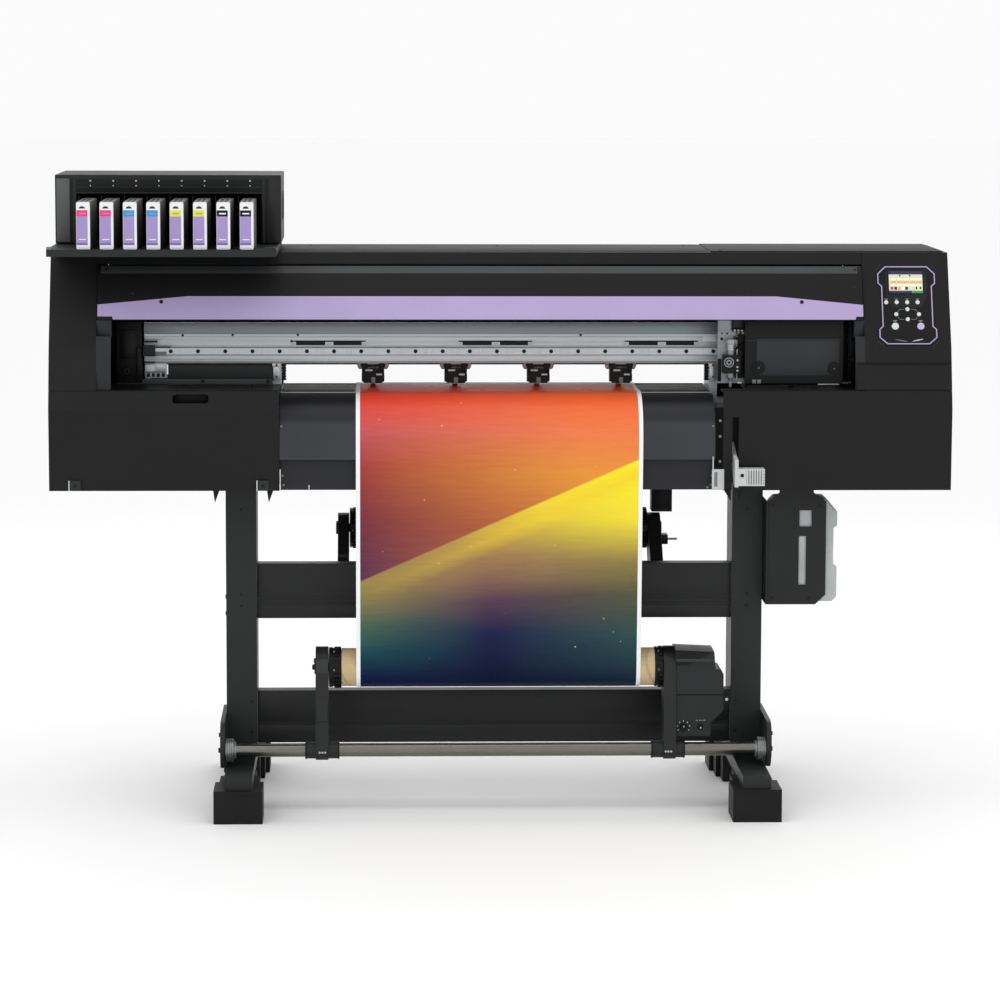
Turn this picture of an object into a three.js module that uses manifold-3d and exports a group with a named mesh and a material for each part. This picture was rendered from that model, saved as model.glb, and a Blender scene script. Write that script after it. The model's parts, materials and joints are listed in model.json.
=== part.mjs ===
// Roll-fed printer cutter on a stand: eight ink cartridges, a carriage with print head and cutter,
// a control panel, a supply roll behind and a motor-driven take-up roll in front.
// Millimetres. +X is to the right seen from the front, +Y to the back, +Z up.
// The origin is on the floor under the middle of the machine.
import * as THREE from 'three';
import { mergeVertices } from 'three/addons/utils/BufferGeometryUtils.js';
import Module from 'manifold-3d';

const wasm = await Module();
wasm.setup();

// ---- driving dimensions ----
const WIDTH = 1965;
const DEPTH = 700;
const HEIGHT = 1392;
const HALF_WIDTH = WIDTH / 2;
const GAP = 0.3;              // between pieces that rest on each other
const SHEET = 3;              // wall of the covers

// Body in side view
const BODY_BOTTOM = 711;
const BODY_TOP = 1224;
const FRAME_TOP = 884;        // top of the channel across the two legs
const BODY_REAR = 213;
const DECK_Z = 928;           // top of the lower covers, just above the platen
const CREASE = [-226, 887];   // foremost line of the lower covers
const TOP_EDGE = [-112, BODY_TOP];
const SLOPE_FOOT = [-196, 1020];
const DECK_FRONT = [-217, DECK_Z];
const DECK_REAR = -46;        // deck ends just ahead of the bar
const SLOPE_TILT = Math.atan2(TOP_EDGE[0] - SLOPE_FOOT[0], TOP_EDGE[1] - SLOPE_FOOT[1]);

// Body in front view
const LEFT_COVER_X = -880;    // inner edge of the left side cover
const RIGHT_COVER_X = 793;    // inner edge of the right side cover
const JAMB = { left: -848, right: 772 };
const BAY = { left: -483, right: 465 };   // span of platen, apron and rear guide

// Media path
const MEDIA_CENTRE = -5;
const MEDIA_WIDTH = 625;
const MEDIA_THICKNESS = 0.8;
const PLATEN_TOP = 918;
const PLATEN_FRONT = -130;     // far enough forward to lie under the cutter pen
const PLATEN_REAR = 64;
const APRON = { depth: 96, drop: 96, foot: 779 };
const REAR_GUIDE = { start: 95, depth: 130, drop: 127.5, foot: 735 };
const GRIT = { y: 78, radius: 12, shaft: 8 };
const CORE_RADIUS = 42;
const CORE_BORE = 38;

// Stand
const LEG_CENTRES = { left: -573, right: 553 };
const COLUMN = { width: 68, front: -61, rear: 59, wall: 3 };
const FOOT_BEAM = { width: 61, length: 670, bottom: 68, top: 98 };
const FOOT_STEPS = [[53, 110], [44, 71], [34, 61]];   // half width, length towards the middle
const FOOT_HEIGHT = 72;
const BEAM = { front: -50, rear: -10 };
const RAIL = { y: -190, z: 133, radius: 15, flangeRadius: 25, flangeWidth: 20 };

// Take-up and supply
const TAKE_UP = { y: -150, z: 311, left: -350, right: 340, wound: 43.5 };
const DRIVE_FACE = -196;      // front of the take-up motor housing
const SUPPLY = { y: 150, z: 583, left: -317.7, right: 325.7, wound: 60 };

// Carriage system
const Y_BAR = { left: -785, right: 785, front: -42, rear: 60, bottom: 974, top: 1065, wall: 6 };
const LINEAR_RAIL = { front: -54, bottom: 994, top: 1009 };
const PINCH = { pivotY: 10, pivotZ: 964, first: -280, pitch: 184, count: 4, roller: 9 };
const LEVER_PIVOT = { y: -150, z: 795 };
const PEN = { x: 506, y: -124, tip: 926 };

// Ink unit
const INK = { left: -970.6, right: -479.6, front: -128, rear: 150, bottom: 1243, slotTop: 1353 };
const SHELF = { left: -973, right: -485, front: -345, bottom: 1225.5, top: 1241 };
const CARTRIDGE = { width: 29, length: 280, height: 100, count: 8, pitch: 49.5, first: -894.5 };

// Control panel, measured across and down the sloped face
const PANEL_X = 889;
const PANEL_OUTLINE = [
  [47, 31], [65, 49], [65, 73], [57.5, 80], [57.5, 170], [65, 177], [65, 198], [47, 214],
];
const PANEL_PLATE = 8;
const KEY_PROUD = 2;
const SMALL_KEY = 4.6;
const LARGE_KEY = 8;
const KEYS = [
  ['key_function_1', -46, 116, SMALL_KEY],
  ['key_function_2', -23, 116, SMALL_KEY],
  ['key_function_3', 0, 116, SMALL_KEY],
  ['key_function_4', 23, 116, SMALL_KEY],
  ['key_jog_back', 0, 132, SMALL_KEY],
  ['key_jog_left', -25, 143.5, SMALL_KEY],
  ['key_jog_right', 25, 143.5, SMALL_KEY],
  ['key_jog_front', 0, 155, SMALL_KEY],
  ['key_remote', -28, 171, LARGE_KEY],
  ['key_enter', 28, 171, LARGE_KEY],
];

// ---- finishes ----
const finish = (color, roughness, metalness = 0) => () => (
  new THREE.MeshStandardMaterial({ color, roughness, metalness }));
const BLACK_STEEL = finish(0x1d1d1f, 0.5, 0.2);
const BLACK_PLASTIC = finish(0x232325, 0.55);
const DARK_PLASTIC = finish(0x131315, 0.6);
const VIOLET_PLASTIC = finish(0xb09ccb, 0.45);
const ALUMINIUM = finish(0xa9adb0, 0.35, 0.9);
const STEEL = finish(0x8f9191, 0.3, 1);
const GREY_PLASTIC = finish(0xb9bbba, 0.5);
const WHITE_PLASTIC = finish(0xf2f2f2, 0.45);
const CARDBOARD = finish(0xc4ad84, 0.9);
const VINYL = finish(0xd98a3a, 0.4);
const TRANSLUCENT = finish(0xd5dad8, 0.4);

// ---- solids ----
const fromGeometry = (geometry) => {
  const plain = geometry.clone();
  plain.deleteAttribute('normal');
  plain.deleteAttribute('uv');
  const merged = mergeVertices(plain, 1e-4);
  return new wasm.Manifold(new wasm.Mesh({
    numProp: 3,
    vertProperties: Float32Array.from(merged.attributes.position.array),
    triVerts: Uint32Array.from(merged.index.array),
  }));
};

const toGeometry = (solid) => {
  const mesh = solid.getMesh();
  const geometry = new THREE.BufferGeometry();
  geometry.setAttribute('position', new THREE.BufferAttribute(mesh.vertProperties, 3));
  geometry.setIndex(new THREE.BufferAttribute(mesh.triVerts, 1));
  return geometry;
};

const join = (...pieces) => toGeometry(pieces.map(fromGeometry).reduce((whole, next) => whole.add(next)));

const cut = (piece, ...tools) => {
  const start = fromGeometry(piece);
  return toGeometry(tools.map(fromGeometry).reduce((whole, tool) => whole.subtract(tool), start));
};

const block = ([x0, y0, z0], [x1, y1, z1]) => {
  const box = new THREE.BoxGeometry(x1 - x0, y1 - y0, z1 - z0);
  return box.translate((x0 + x1) / 2, (y0 + y1) / 2, (z0 + z1) / 2);
};

const extrude = (points, depth, steps) => {
  const shape = new THREE.Shape(points.map(([a, b]) => new THREE.Vector2(a, b)));
  return new THREE.ExtrudeGeometry(shape, { depth, steps, bevelEnabled: false });
};

// Outline of [y, z] points drawn out along X
const prismX = (points, x0, x1) => {
  const axes = new THREE.Matrix4().makeBasis(
    new THREE.Vector3(0, 1, 0), new THREE.Vector3(0, 0, 1), new THREE.Vector3(1, 0, 0));
  return extrude(points, x1 - x0, 1).applyMatrix4(axes).translate(x0, 0, 0);
};

// Outline of [x, z] points drawn out along Y
const prismY = (points, y0, y1) => {
  const axes = new THREE.Matrix4().makeBasis(
    new THREE.Vector3(1, 0, 0), new THREE.Vector3(0, 0, 1), new THREE.Vector3(0, -1, 0));
  return extrude(points, y1 - y0, 1).applyMatrix4(axes).translate(0, y1, 0);
};

// Outline of [x, y] points drawn out along Z
const prismZ = (points, z0, z1) => extrude(points, z1 - z0, 1).translate(0, 0, z0);

// Outline of [x, radius] points, from axis to axis, turned about a line along X
const latheX = (profile, y, z, sides = 24) => {
  const points = profile.map(([x, radius]) => new THREE.Vector2(radius, x));
  return new THREE.LatheGeometry(points, sides).rotateZ(-Math.PI / 2).translate(0, y, z);
};

const rodX = (radius, x0, x1, y, z, sides = 24) => (
  latheX([[x0, 0], [x0, radius], [x1, radius], [x1, 0]], y, z, sides));

const rodY = (radius, y0, y1, x, z, sides = 20) => {
  const rod = new THREE.CylinderGeometry(radius, radius, y1 - y0, sides);
  return rod.translate(x, (y0 + y1) / 2, z);
};

// Points of an arc with half axes a and b, from one angle to another in degrees
const arc = ([cu, cv], a, b, from, to, steps) => Array.from({ length: steps + 1 }, (_, i) => {
  const angle = THREE.MathUtils.degToRad(from + (to - from) * i / steps);
  return [cu + a * Math.cos(angle), cv + b * Math.sin(angle)];
});

// The same line moved sideways by a distance, to its left when walked from first to last
const offsetLine = (points, distance, closed = false) => points.map((point, i) => {
  const last = points.length - 1;
  const before = i > 0 ? points[i - 1] : closed ? points[last] : null;
  const after = i < last ? points[i + 1] : closed ? points[0] : null;
  const direction = (from, to) => new THREE.Vector2(to[0] - from[0], to[1] - from[1]).normalize();
  const arriving = direction(before ?? point, before ? point : after);
  const leaving = direction(after ? point : before, after ?? point);
  const normal = new THREE.Vector2(-arriving.y - leaving.y, arriving.x + leaving.x).normalize();
  const reach = distance / Math.max(0.3, -arriving.y * normal.x + arriving.x * normal.y);
  return [point[0] + normal.x * reach, point[1] + normal.y * reach];
});

// A sheet that follows a line of points, with its thickness to the left of the line
const sheetOutline = (line, thickness) => [...line, ...offsetLine(line, thickness).reverse()];

const machine = new THREE.Group();

const addTo = (group, name, geometry, material) => {
  const mesh = new THREE.Mesh(geometry, material());
  mesh.name = name;
  group.add(mesh);
  return mesh;
};

const add = (name, geometry, material) => addTo(machine, name, geometry, material);

// ---- stand ----
const footOutline = (side) => {
  let y = DEPTH / 2;
  const right = [];
  FOOT_STEPS.forEach(([halfWidth, length]) => {
    right.push([halfWidth, y]);
    y -= length;
    right.push([halfWidth, y]);
  });
  const left = right.map(([x, at]) => [-x, at]).reverse();
  return [...right, ...left].map(([x, at]) => [x, at * side]);
};

const leg = (name, centre, outward) => {
  const { width, front, rear, wall } = COLUMN;
  const top = FRAME_TOP - SHEET - GAP;
  const column = cut(
    block([-width / 2, front, FOOT_BEAM.top - 4], [width / 2, rear, top]),
    block([-width / 2 + wall, front + wall, FOOT_BEAM.top], [width / 2 - wall, rear - wall, top + 1]));
  const beam = block(
    [-FOOT_BEAM.width / 2, -FOOT_BEAM.length / 2, FOOT_BEAM.bottom],
    [FOOT_BEAM.width / 2, FOOT_BEAM.length / 2, FOOT_BEAM.top]);
  const plateX = [outward * (width / 2 - 1), outward * (width / 2 + 9)].sort((a, b) => a - b);
  const nose = arc([RAIL.y, RAIL.z + 12], 34, 52, 270, 90, 8);
  const plate = prismX([...nose, [10, 200], [10, 93]], ...plateX);
  const feet = [-1, 1].map((side) => prismZ(footOutline(side), 0, FOOT_HEIGHT));
  const whole = join(column, beam, ...feet, plate);
  add(name, whole, BLACK_STEEL).position.x = centre;
};

const stand = () => {
  leg('left_leg', LEG_CENTRES.left, -1);
  leg('right_leg', LEG_CENTRES.right, 1);
  const left = LEG_CENTRES.left + COLUMN.width / 2 + GAP;
  const right = LEG_CENTRES.right - COLUMN.width / 2 - GAP;
  const crossbeam = (bottom, top) => {
    const { front, rear } = BEAM;
    const channel = [
      [front, bottom], [rear, bottom], [rear, bottom + 4], [front + 4, bottom + 4],
      [front + 4, top - 4], [rear, top - 4], [rear, top], [front, top],
    ];
    return prismX(channel, left, right);
  };
  add('upper_crossbeam', crossbeam(405, 528), BLACK_STEEL);
  add('lower_crossbeam', crossbeam(124, 242), BLACK_STEEL);
};

const takeUpRail = () => {
  const start = LEG_CENTRES.left - COLUMN.width / 2 + 1 + GAP;
  const end = LEG_CENTRES.right + COLUMN.width / 2 - 1 - GAP;
  const { radius, flangeRadius, flangeWidth, y, z } = RAIL;
  const profile = [
    [start, 0], [start, flangeRadius], [start + flangeWidth, flangeRadius], [start + flangeWidth, radius],
    [end - flangeWidth, radius], [end - flangeWidth, flangeRadius], [end, flangeRadius], [end, 0],
  ];
  add('take_up_rail', latheX(profile, y, z), STEEL);
};

// ---- body ----
const baseFrame = () => {
  const line = [[-132, 716], [-132, FRAME_TOP], [150, FRAME_TOP], [150, 716]];
  add('base_frame', prismX(sheetOutline(line, -SHEET).reverse(), -940, 940), BLACK_STEEL);
};

const platen = () => {
  const bottom = FRAME_TOP + GAP;
  const outline = [
    [PLATEN_FRONT, bottom], [PLATEN_FRONT + 4, bottom], [PLATEN_FRONT + 4, PLATEN_TOP - 6],
    [PLATEN_REAR - 4, PLATEN_TOP - 6], [PLATEN_REAR - 4, bottom], [PLATEN_REAR, bottom],
    [PLATEN_REAR, PLATEN_TOP], [PLATEN_FRONT, PLATEN_TOP],
  ];
  add('platen', prismX(outline, BAY.left + 1, BAY.right - 1), ALUMINIUM);
};

const apronTop = () => arc([PLATEN_FRONT, PLATEN_TOP - APRON.drop], APRON.depth, APRON.drop, 90, 180, 12);

const frontApron = () => {
  const { foot: lower } = APRON;
  const face = PLATEN_FRONT - APRON.depth;
  const start = PLATEN_FRONT - 1;
  const curve = apronTop().map(([y, z]) => [Math.min(y, start), z - 1]);
  const line = [...curve, [face, lower], [face + 20, lower], [face + 20, BODY_BOTTOM]];
  add('front_apron', prismX(sheetOutline(line, SHEET), BAY.left, BAY.right), BLACK_STEEL);
};

const rearGuideTop = () => {
  const { start, depth, drop } = REAR_GUIDE;
  return arc([start, PLATEN_TOP - 0.5 - drop], depth, drop, 90, 0, 10);
};

const rearGuide = () => {
  const { start, depth, foot: lower } = REAR_GUIDE;
  const line = [...rearGuideTop(), [start + depth, lower]];
  add('rear_guide', prismX(sheetOutline(line, -SHEET), BAY.left, BAY.right), BLACK_STEEL);
};

const lowerCoverFace = () => {
  const line = [[CREASE[0] + 4, BODY_BOTTOM], CREASE, DECK_FRONT, [DECK_REAR, DECK_Z]];
  return sheetOutline(line, -SHEET);
};

const lowerCover = (name, inner, outer, ...slots) => {
  const [x0, x1] = [Math.min(inner, outer), Math.max(inner, outer)];
  const rear = BODY_REAR - 8;
  const endX = outer < inner ? [outer, outer + SHEET] : [outer - SHEET, outer];
  const endOutline = [[CREASE[0] + 4, BODY_BOTTOM], CREASE, DECK_FRONT, [rear, DECK_Z], [rear, BODY_BOTTOM]];
  const shell = join(
    prismX(lowerCoverFace(), x0, x1),
    prismX(endOutline.reverse(), ...endX),
    block([x0, rear - SHEET, BODY_BOTTOM], [x1, rear, DECK_Z]));
  add(name, slots.length ? cut(shell, ...slots) : shell, BLACK_PLASTIC);
};

const lowerCovers = () => {
  lowerCover('left_lower_cover', BAY.left - 0.5, -HALF_WIDTH);
  const inner = BAY.right + 17;
  const leverSlot = block([502, CREASE[0] - 5, BODY_BOTTOM - 5], [516, CREASE[0] + 15, 872]);
  const penNotch = block([inner - 5, -160, DECK_Z - 10], [PEN.x + 30, DECK_REAR + 5, DECK_Z + 10]);
  lowerCover('right_lower_cover', inner, HALF_WIDTH, leverSlot, penNotch);
};

// Local frame on the sloped face: x across, z up the slope, -y out of it
const onSlope = (distanceDown) => {
  const frame = new THREE.Group();
  frame.rotation.x = -SLOPE_TILT;
  frame.position.set(PANEL_X, TOP_EDGE[0] - distanceDown * Math.sin(SLOPE_TILT),
    TOP_EDGE[1] - distanceDown * Math.cos(SLOPE_TILT));
  frame.updateMatrixWorld();
  return frame;
};

const panelOutline = (outset) => {
  const right = PANEL_OUTLINE.map(([across, down]) => [across, -down]);
  const left = right.map(([across, up]) => [-across, up]).reverse();
  return offsetLine([...right, ...left], outset, true);
};

const sideCover = (name, inner, outer, jamb, panelWindow) => {
  const bottom = DECK_Z + 1;
  const outline = [[BODY_REAR, bottom], [BODY_REAR, BODY_TOP], TOP_EDGE, SLOPE_FOOT, [DECK_FRONT[0], bottom]];
  const [x0, x1] = [Math.min(inner, outer), Math.max(inner, outer)];
  const hollow = offsetLine(outline, SHEET, true).map(([y, z]) => [y, z < bottom + 10 ? bottom - 5 : z]);
  const hollowX = outer < inner ? [outer + SHEET, inner + 5] : [inner - 5, outer - SHEET];
  const jambX = [jamb, jamb < inner ? inner + 1 : inner - 1].sort((a, b) => a - b);
  const jambLine = [[-190, 1045], [-206, 975], [-206, bottom]];
  const shell = cut(prismX(outline, x0, x1), prismX(hollow, ...hollowX), ...panelWindow);
  add(name, join(shell, prismX(sheetOutline(jambLine, SHEET), ...jambX)), BLACK_PLASTIC);
};

const sideCovers = () => {
  sideCover('left_side_cover', LEFT_COVER_X, -HALF_WIDTH, JAMB.left, []);
  const window = prismY(panelOutline(0.4), -10, 20).applyMatrix4(onSlope(0).matrixWorld);
  sideCover('right_side_cover', RIGHT_COVER_X, HALF_WIDTH, JAMB.right, [window]);
};

const COVER_SEAM = 1198.3;    // lower edge of the top cover's front lip

const slopeY = (z) => TOP_EDGE[0] - (TOP_EDGE[1] - z) * Math.tan(SLOPE_TILT);

const topCover = () => {
  const line = [[slopeY(COVER_SEAM), COVER_SEAM], TOP_EDGE, [BODY_REAR, BODY_TOP], [BODY_REAR, 950]];
  const solid = prismX(sheetOutline(line, -SHEET), LEFT_COVER_X + 0.5, RIGHT_COVER_X - 0.5);
  add('top_cover', solid, BLACK_PLASTIC);
};

const frontCover = () => {
  const line = [[-125, 1195], [-143, 1178], [-177, 1079], [-163, 1079]];
  add('front_cover', prismX(sheetOutline(line, SHEET), LEFT_COVER_X + 2, RIGHT_COVER_X - 2), VIOLET_PLASTIC);
};

const controlPanel = () => {
  const slope = onSlope(0);
  const plate = prismY(panelOutline(0), -1.5, PANEL_PLATE - 1.5);
  const holes = KEYS.map(([, across, down, radius]) => (
    rodY(radius + 0.4, -5, PANEL_PLATE + 5, across, -down, 16)));
  addTo(slope, 'control_panel', cut(plate, ...holes), DARK_PLASTIC);
  KEYS.forEach(([name, across, down, radius]) => {
    const key = rodY(radius, -1.5 - KEY_PROUD, 4, 0, 0, 16);
    addTo(slope, name, key, WHITE_PLASTIC).position.set(across, 0, -down);
  });
  machine.add(slope);
};

// ---- carriage system ----
const yBar = () => {
  const { left, right, front, rear, bottom, top, wall } = Y_BAR;
  const tube = cut(
    block([left, front, bottom], [right, rear, top]),
    block([left - 1, front + wall, bottom + wall], [right + 1, rear - wall, top - wall]));
  const rail = block(
    [left + 20, LINEAR_RAIL.front, LINEAR_RAIL.bottom],
    [right - 20, front + 1, LINEAR_RAIL.top]);
  const post = (x0, x1) => block([x0, -30, FRAME_TOP + GAP], [x1, 96, bottom + 1]);
  const posts = [
    post(left, left + 8),
    post(BAY.left - 20, BAY.left - 2),
    post(BAY.right + 2, BAY.right + 20),
    post(right - 8, right),
  ];
  add('y_bar', join(tube, rail, ...posts), ALUMINIUM);
};

const gritRoller = () => {
  const half = 30;
  const profile = [[BAY.left + 1, 0], [BAY.left + 1, GRIT.shaft]];
  for (let i = 0; i < PINCH.count; i += 1) {
    const centre = PINCH.first + i * PINCH.pitch;
    profile.push([centre - half, GRIT.shaft], [centre - half, GRIT.radius]);
    profile.push([centre + half, GRIT.radius], [centre + half, GRIT.shaft]);
  }
  profile.push([BAY.right - 1, GRIT.shaft], [BAY.right - 1, 0]);
  add('grit_roller', latheX(profile, GRIT.y, PLATEN_TOP - GRIT.radius, 16), STEEL);
};

const pinchArms = () => {
  const rollerY = GRIT.y - PINCH.pivotY;
  const rollerZ = PLATEN_TOP + MEDIA_THICKNESS + 2 * GAP + PINCH.roller - PINCH.pivotZ;
  const arm = join(
    prismX([[-15, -34], [8, -36], [14, -20], [10, 7], [-11, 8], [-15, 2]], -25, 25),
    prismX([[4, -33], [rollerY - 6, -38], [rollerY + 5, -30], [rollerY, -25], [6, -14]], -13, 13),
    rodX(PINCH.roller, -6, 6, rollerY, rollerZ, 16),
    rodX(5.5, -31, 31, 0, 0, 12));
  for (let i = 0; i < PINCH.count; i += 1) {
    const mesh = add(`pinch_arm_${i + 1}`, arm, DARK_PLASTIC);
    mesh.position.set(PINCH.first + i * PINCH.pitch, PINCH.pivotY, PINCH.pivotZ);
  }
};

const printCarriage = () => {
  const { front, bottom, top } = LINEAR_RAIL;
  const slider = [
    [-64, 984], [-43.5, 984], [-43.5, bottom - 1], [front - 1, bottom - 1],
    [front - 1, top + 1], [-43.5, top + 1], [-43.5, 1019], [-64, 1019],
  ];
  const body = [[-140, 938], [-134, 934], [-64, 934], ...slider, [-64, 1180], [-112, 1180], [-140, 1075]];
  const cutterPlate = block([PEN.x - 28, -112, 936], [PEN.x + 31, -100, 1150]);
  const penBore = new THREE.CylinderGeometry(9, 9, 400, 16).rotateX(Math.PI / 2);
  penBore.translate(PEN.x, PEN.y, 1000);
  const penBlock = cut(block([PEN.x - 18, PEN.y - 16, 960], [PEN.x + 20, PEN.y + 13, 1000]), penBore);
  add('print_carriage', join(prismX(body, PEN.x + 30, 752), cutterPlate, penBlock), BLACK_PLASTIC);
};

const cutterPen = () => {
  const profile = [[0, 0], [4, 3], [16, 3], [24, 8], [96, 8], [96, 11], [108, 11], [108, 0]];
  const points = profile.map(([z, radius]) => new THREE.Vector2(radius, z));
  const pen = new THREE.LatheGeometry(points, 16).rotateX(Math.PI / 2);
  add('cutter_pen', pen, STEEL).position.set(PEN.x, PEN.y, PEN.tip);
};

const clampLever = () => {
  const { y, z } = LEVER_PIVOT;
  const hub = arc([y, z], 14, 14, -60, 120, 6);
  const plate = prismX([...hub, [-225, 786], [-262, 782], [-262, 722], [-240, 722]], 505, 512.5);
  const grip = block([512, -262, 725], [570, -229, 762]);
  const hole = rodX(5, 500, 520, -250, 748, 12);
  add('clamp_lever', cut(join(plate, grip), hole), GREY_PLASTIC);
};

// ---- ink unit ----
const inkUnit = () => {
  const { left, right, front, rear, bottom, slotTop } = INK;
  const housing = cut(
    block([left, front, bottom], [right, rear, HEIGHT]),
    block([-924, front - 5, bottom - 5], [-522, -38, slotTop]),
    block([left + SHEET, -35, bottom - 5], [right - SHEET, rear - SHEET, HEIGHT - SHEET]));
  add('ink_housing', housing, BLACK_PLASTIC);
  const shelfRear = rear - 10;
  const shelf = cut(
    block([SHELF.left, SHELF.front, SHELF.bottom], [SHELF.right, shelfRear, SHELF.top]),
    block(
      [SHELF.left + SHEET, SHELF.front + SHEET, SHELF.bottom - 5],
      [SHELF.right - SHEET, shelfRear - SHEET, SHELF.top - SHEET]));
  add('ink_shelf', shelf, BLACK_PLASTIC);
};

const cartridges = () => {
  const { width, length, height, count, pitch, first } = CARTRIDGE;
  const outline = [
    [0, 0], [length, 0], [length, height - 12], [length - 12, height], [4, height], [0, height - 4],
  ];
  for (let i = 0; i < count; i += 1) {
    const mesh = add(`cartridge_${i + 1}`, prismX(outline, -width / 2, width / 2), WHITE_PLASTIC);
    mesh.position.set(first + i * pitch, SHELF.front + 10, SHELF.top + GAP);
  }
};

// ---- waste tank ----
const wasteTank = () => {
  const front = -120;
  const plate = prismY([
    [591, 444], [700, 444], [722, 466], [722, 674], [694, 694], [694, 715], [618, 715], [618, 694],
    [591, 674],
  ], front, front + SHEET);
  const window = block([663, front - 5, 618], [690, front + 5, 654]);
  const slot = block([662, front - 5, 488], [678, front + 5, 597]);
  const tray = join(
    cut(plate, window, slot),
    block([591, front, 444], [700, -20, 447]),
    block([589, front, 444], [592, -20, 674]));
  add('waste_tank_bracket', tray, BLACK_STEEL);
  const bottle = prismY([
    [600, 450], [738, 450], [748, 460], [748, 526], [740, 532], [740, 613], [748, 619], [748, 650],
    [722, 681], [612, 681], [600, 669],
  ], front + SHEET + 2, -28);
  add('waste_tank', bottle, TRANSLUCENT);
};

// ---- take-up and supply ----
const core = ({ left, right, wound, y, z }) => {
  const mediaLeft = MEDIA_CENTRE - MEDIA_WIDTH / 2;
  const mediaRight = MEDIA_CENTRE + MEDIA_WIDTH / 2;
  const profile = [
    [left, CORE_BORE], [left, CORE_RADIUS], [mediaLeft, CORE_RADIUS], [mediaLeft, wound],
    [mediaRight, wound], [mediaRight, CORE_RADIUS], [right, CORE_RADIUS], [right, CORE_BORE],
    [left, CORE_BORE],
  ];
  return latheX(profile, y, z, 32);
};

// A flange with a plug inside the core and a stub shaft on the other side
const coreHolder = (face, outward, { flange, flangeRadius, shaft }, { y, z }) => {
  const plug = CORE_BORE - 0.8;
  const stations = [
    [-24, 0], [-24, plug - 6], [-20, plug], [0.4, plug], [0.4, flangeRadius], [flange, flangeRadius],
    [flange, 10], [shaft, 10], [shaft, 0],
  ];
  const profile = stations.map(([along, radius]) => [face + outward * along, radius]);
  return latheX(outward > 0 ? profile : profile.reverse(), y, z, 24);
};

// Upright plate between the rail and the take-up axis
const takeUpArm = (x0, x1) => {
  const slant = THREE.MathUtils.radToDeg(Math.atan2(TAKE_UP.y - RAIL.y, TAKE_UP.z - RAIL.z));
  const outline = [
    ...arc([TAKE_UP.y, TAKE_UP.z], 46, 46, -slant, 180 - slant, 12),
    ...arc([RAIL.y, RAIL.z], 22, 22, 180 - slant, 360 - slant, 8),
  ];
  return prismX(outline, x0, x1);
};

const railHole = (x0, x1) => rodX(RAIL.radius + 0.5, x0 - 5, x1 + 5, RAIL.y, RAIL.z);

const takeUp = () => {
  const collar = (x0, x1) => rodX(19, x0, x1, RAIL.y, RAIL.z);
  const axleHole = (x0, x1) => rodX(11, x0, x1, TAKE_UP.y, TAKE_UP.z, 16);
  const leftArm = cut(
    join(takeUpArm(-407, -379), collar(-430, -355)),
    railHole(-430, -355), axleHole(-420, -370));
  add('take_up_left_arm', leftArm, BLACK_PLASTIC);
  const flangeRadius = CORE_RADIUS + 1;
  const leftHolder = coreHolder(TAKE_UP.left, -1, { flange: 28, flangeRadius, shaft: 60 }, TAKE_UP);
  add('left_core_holder', leftHolder, DARK_PLASTIC);
  add('take_up_roll', core(TAKE_UP), CARDBOARD);
  const driveHolder = coreHolder(TAKE_UP.right, 1, { flange: 18, flangeRadius, shaft: 38 }, TAKE_UP);
  add('drive_core_holder', driveHolder, DARK_PLASTIC);
  const housing = prismY([
    [384, 162], [463, 162], [463, 192], [491, 220], [491, 300], [484, 311], [473, 311], [470, 350],
    [384, 354],
  ], DRIVE_FACE, -104);
  const drive = cut(
    join(takeUpArm(359, 386), collar(332, 406), housing),
    railHole(332, 406), axleHole(350, 380));
  add('take_up_drive', drive, BLACK_PLASTIC);
  const knob = join(rodY(9, -GAP - 5, -GAP, 0, 0), rodY(6, -14, -4, 0, 0));
  add('speed_knob', knob, DARK_PLASTIC).position.set(403, DRIVE_FACE, 183);
  const toggle = join(rodY(2.4, -12, -1.5, 0, 0, 12), rodY(3.2, -13, -8, 0, 0, 12));
  add('direction_switch', toggle, DARK_PLASTIC).position.set(440, DRIVE_FACE, 183);
};

const supplyBracket = (name, x0, x1) => {
  const { y, z } = SUPPLY;
  const outline = [
    ...arc([y, z], 34, 34, -30, 130, 10),
    [40, 530], [BEAM.rear + GAP, 500], [BEAM.rear + GAP, 415], [40, 415],
  ];
  const hole = rodX(11, x0 - 5, x1 + 5, y, z, 16);
  add(name, cut(prismX(outline, x0, x1), hole), BLACK_PLASTIC);
};

const supply = () => {
  supplyBracket('supply_left_bracket', -360, -334.5);
  supplyBracket('supply_right_bracket', 344, 373);
  const flangeRadius = CORE_RADIUS + 2.5;
  const leftFlange = coreHolder(SUPPLY.left, -1, { flange: 15.5, flangeRadius, shaft: 40 }, SUPPLY);
  const rightFlange = coreHolder(SUPPLY.right, 1, { flange: 17, flangeRadius, shaft: 46 }, SUPPLY);
  add('supply_left_flange', leftFlange, DARK_PLASTIC);
  add('supply_right_flange', rightFlange, DARK_PLASTIC);
  add('supply_roll', core(SUPPLY), CARDBOARD);
};

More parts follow.
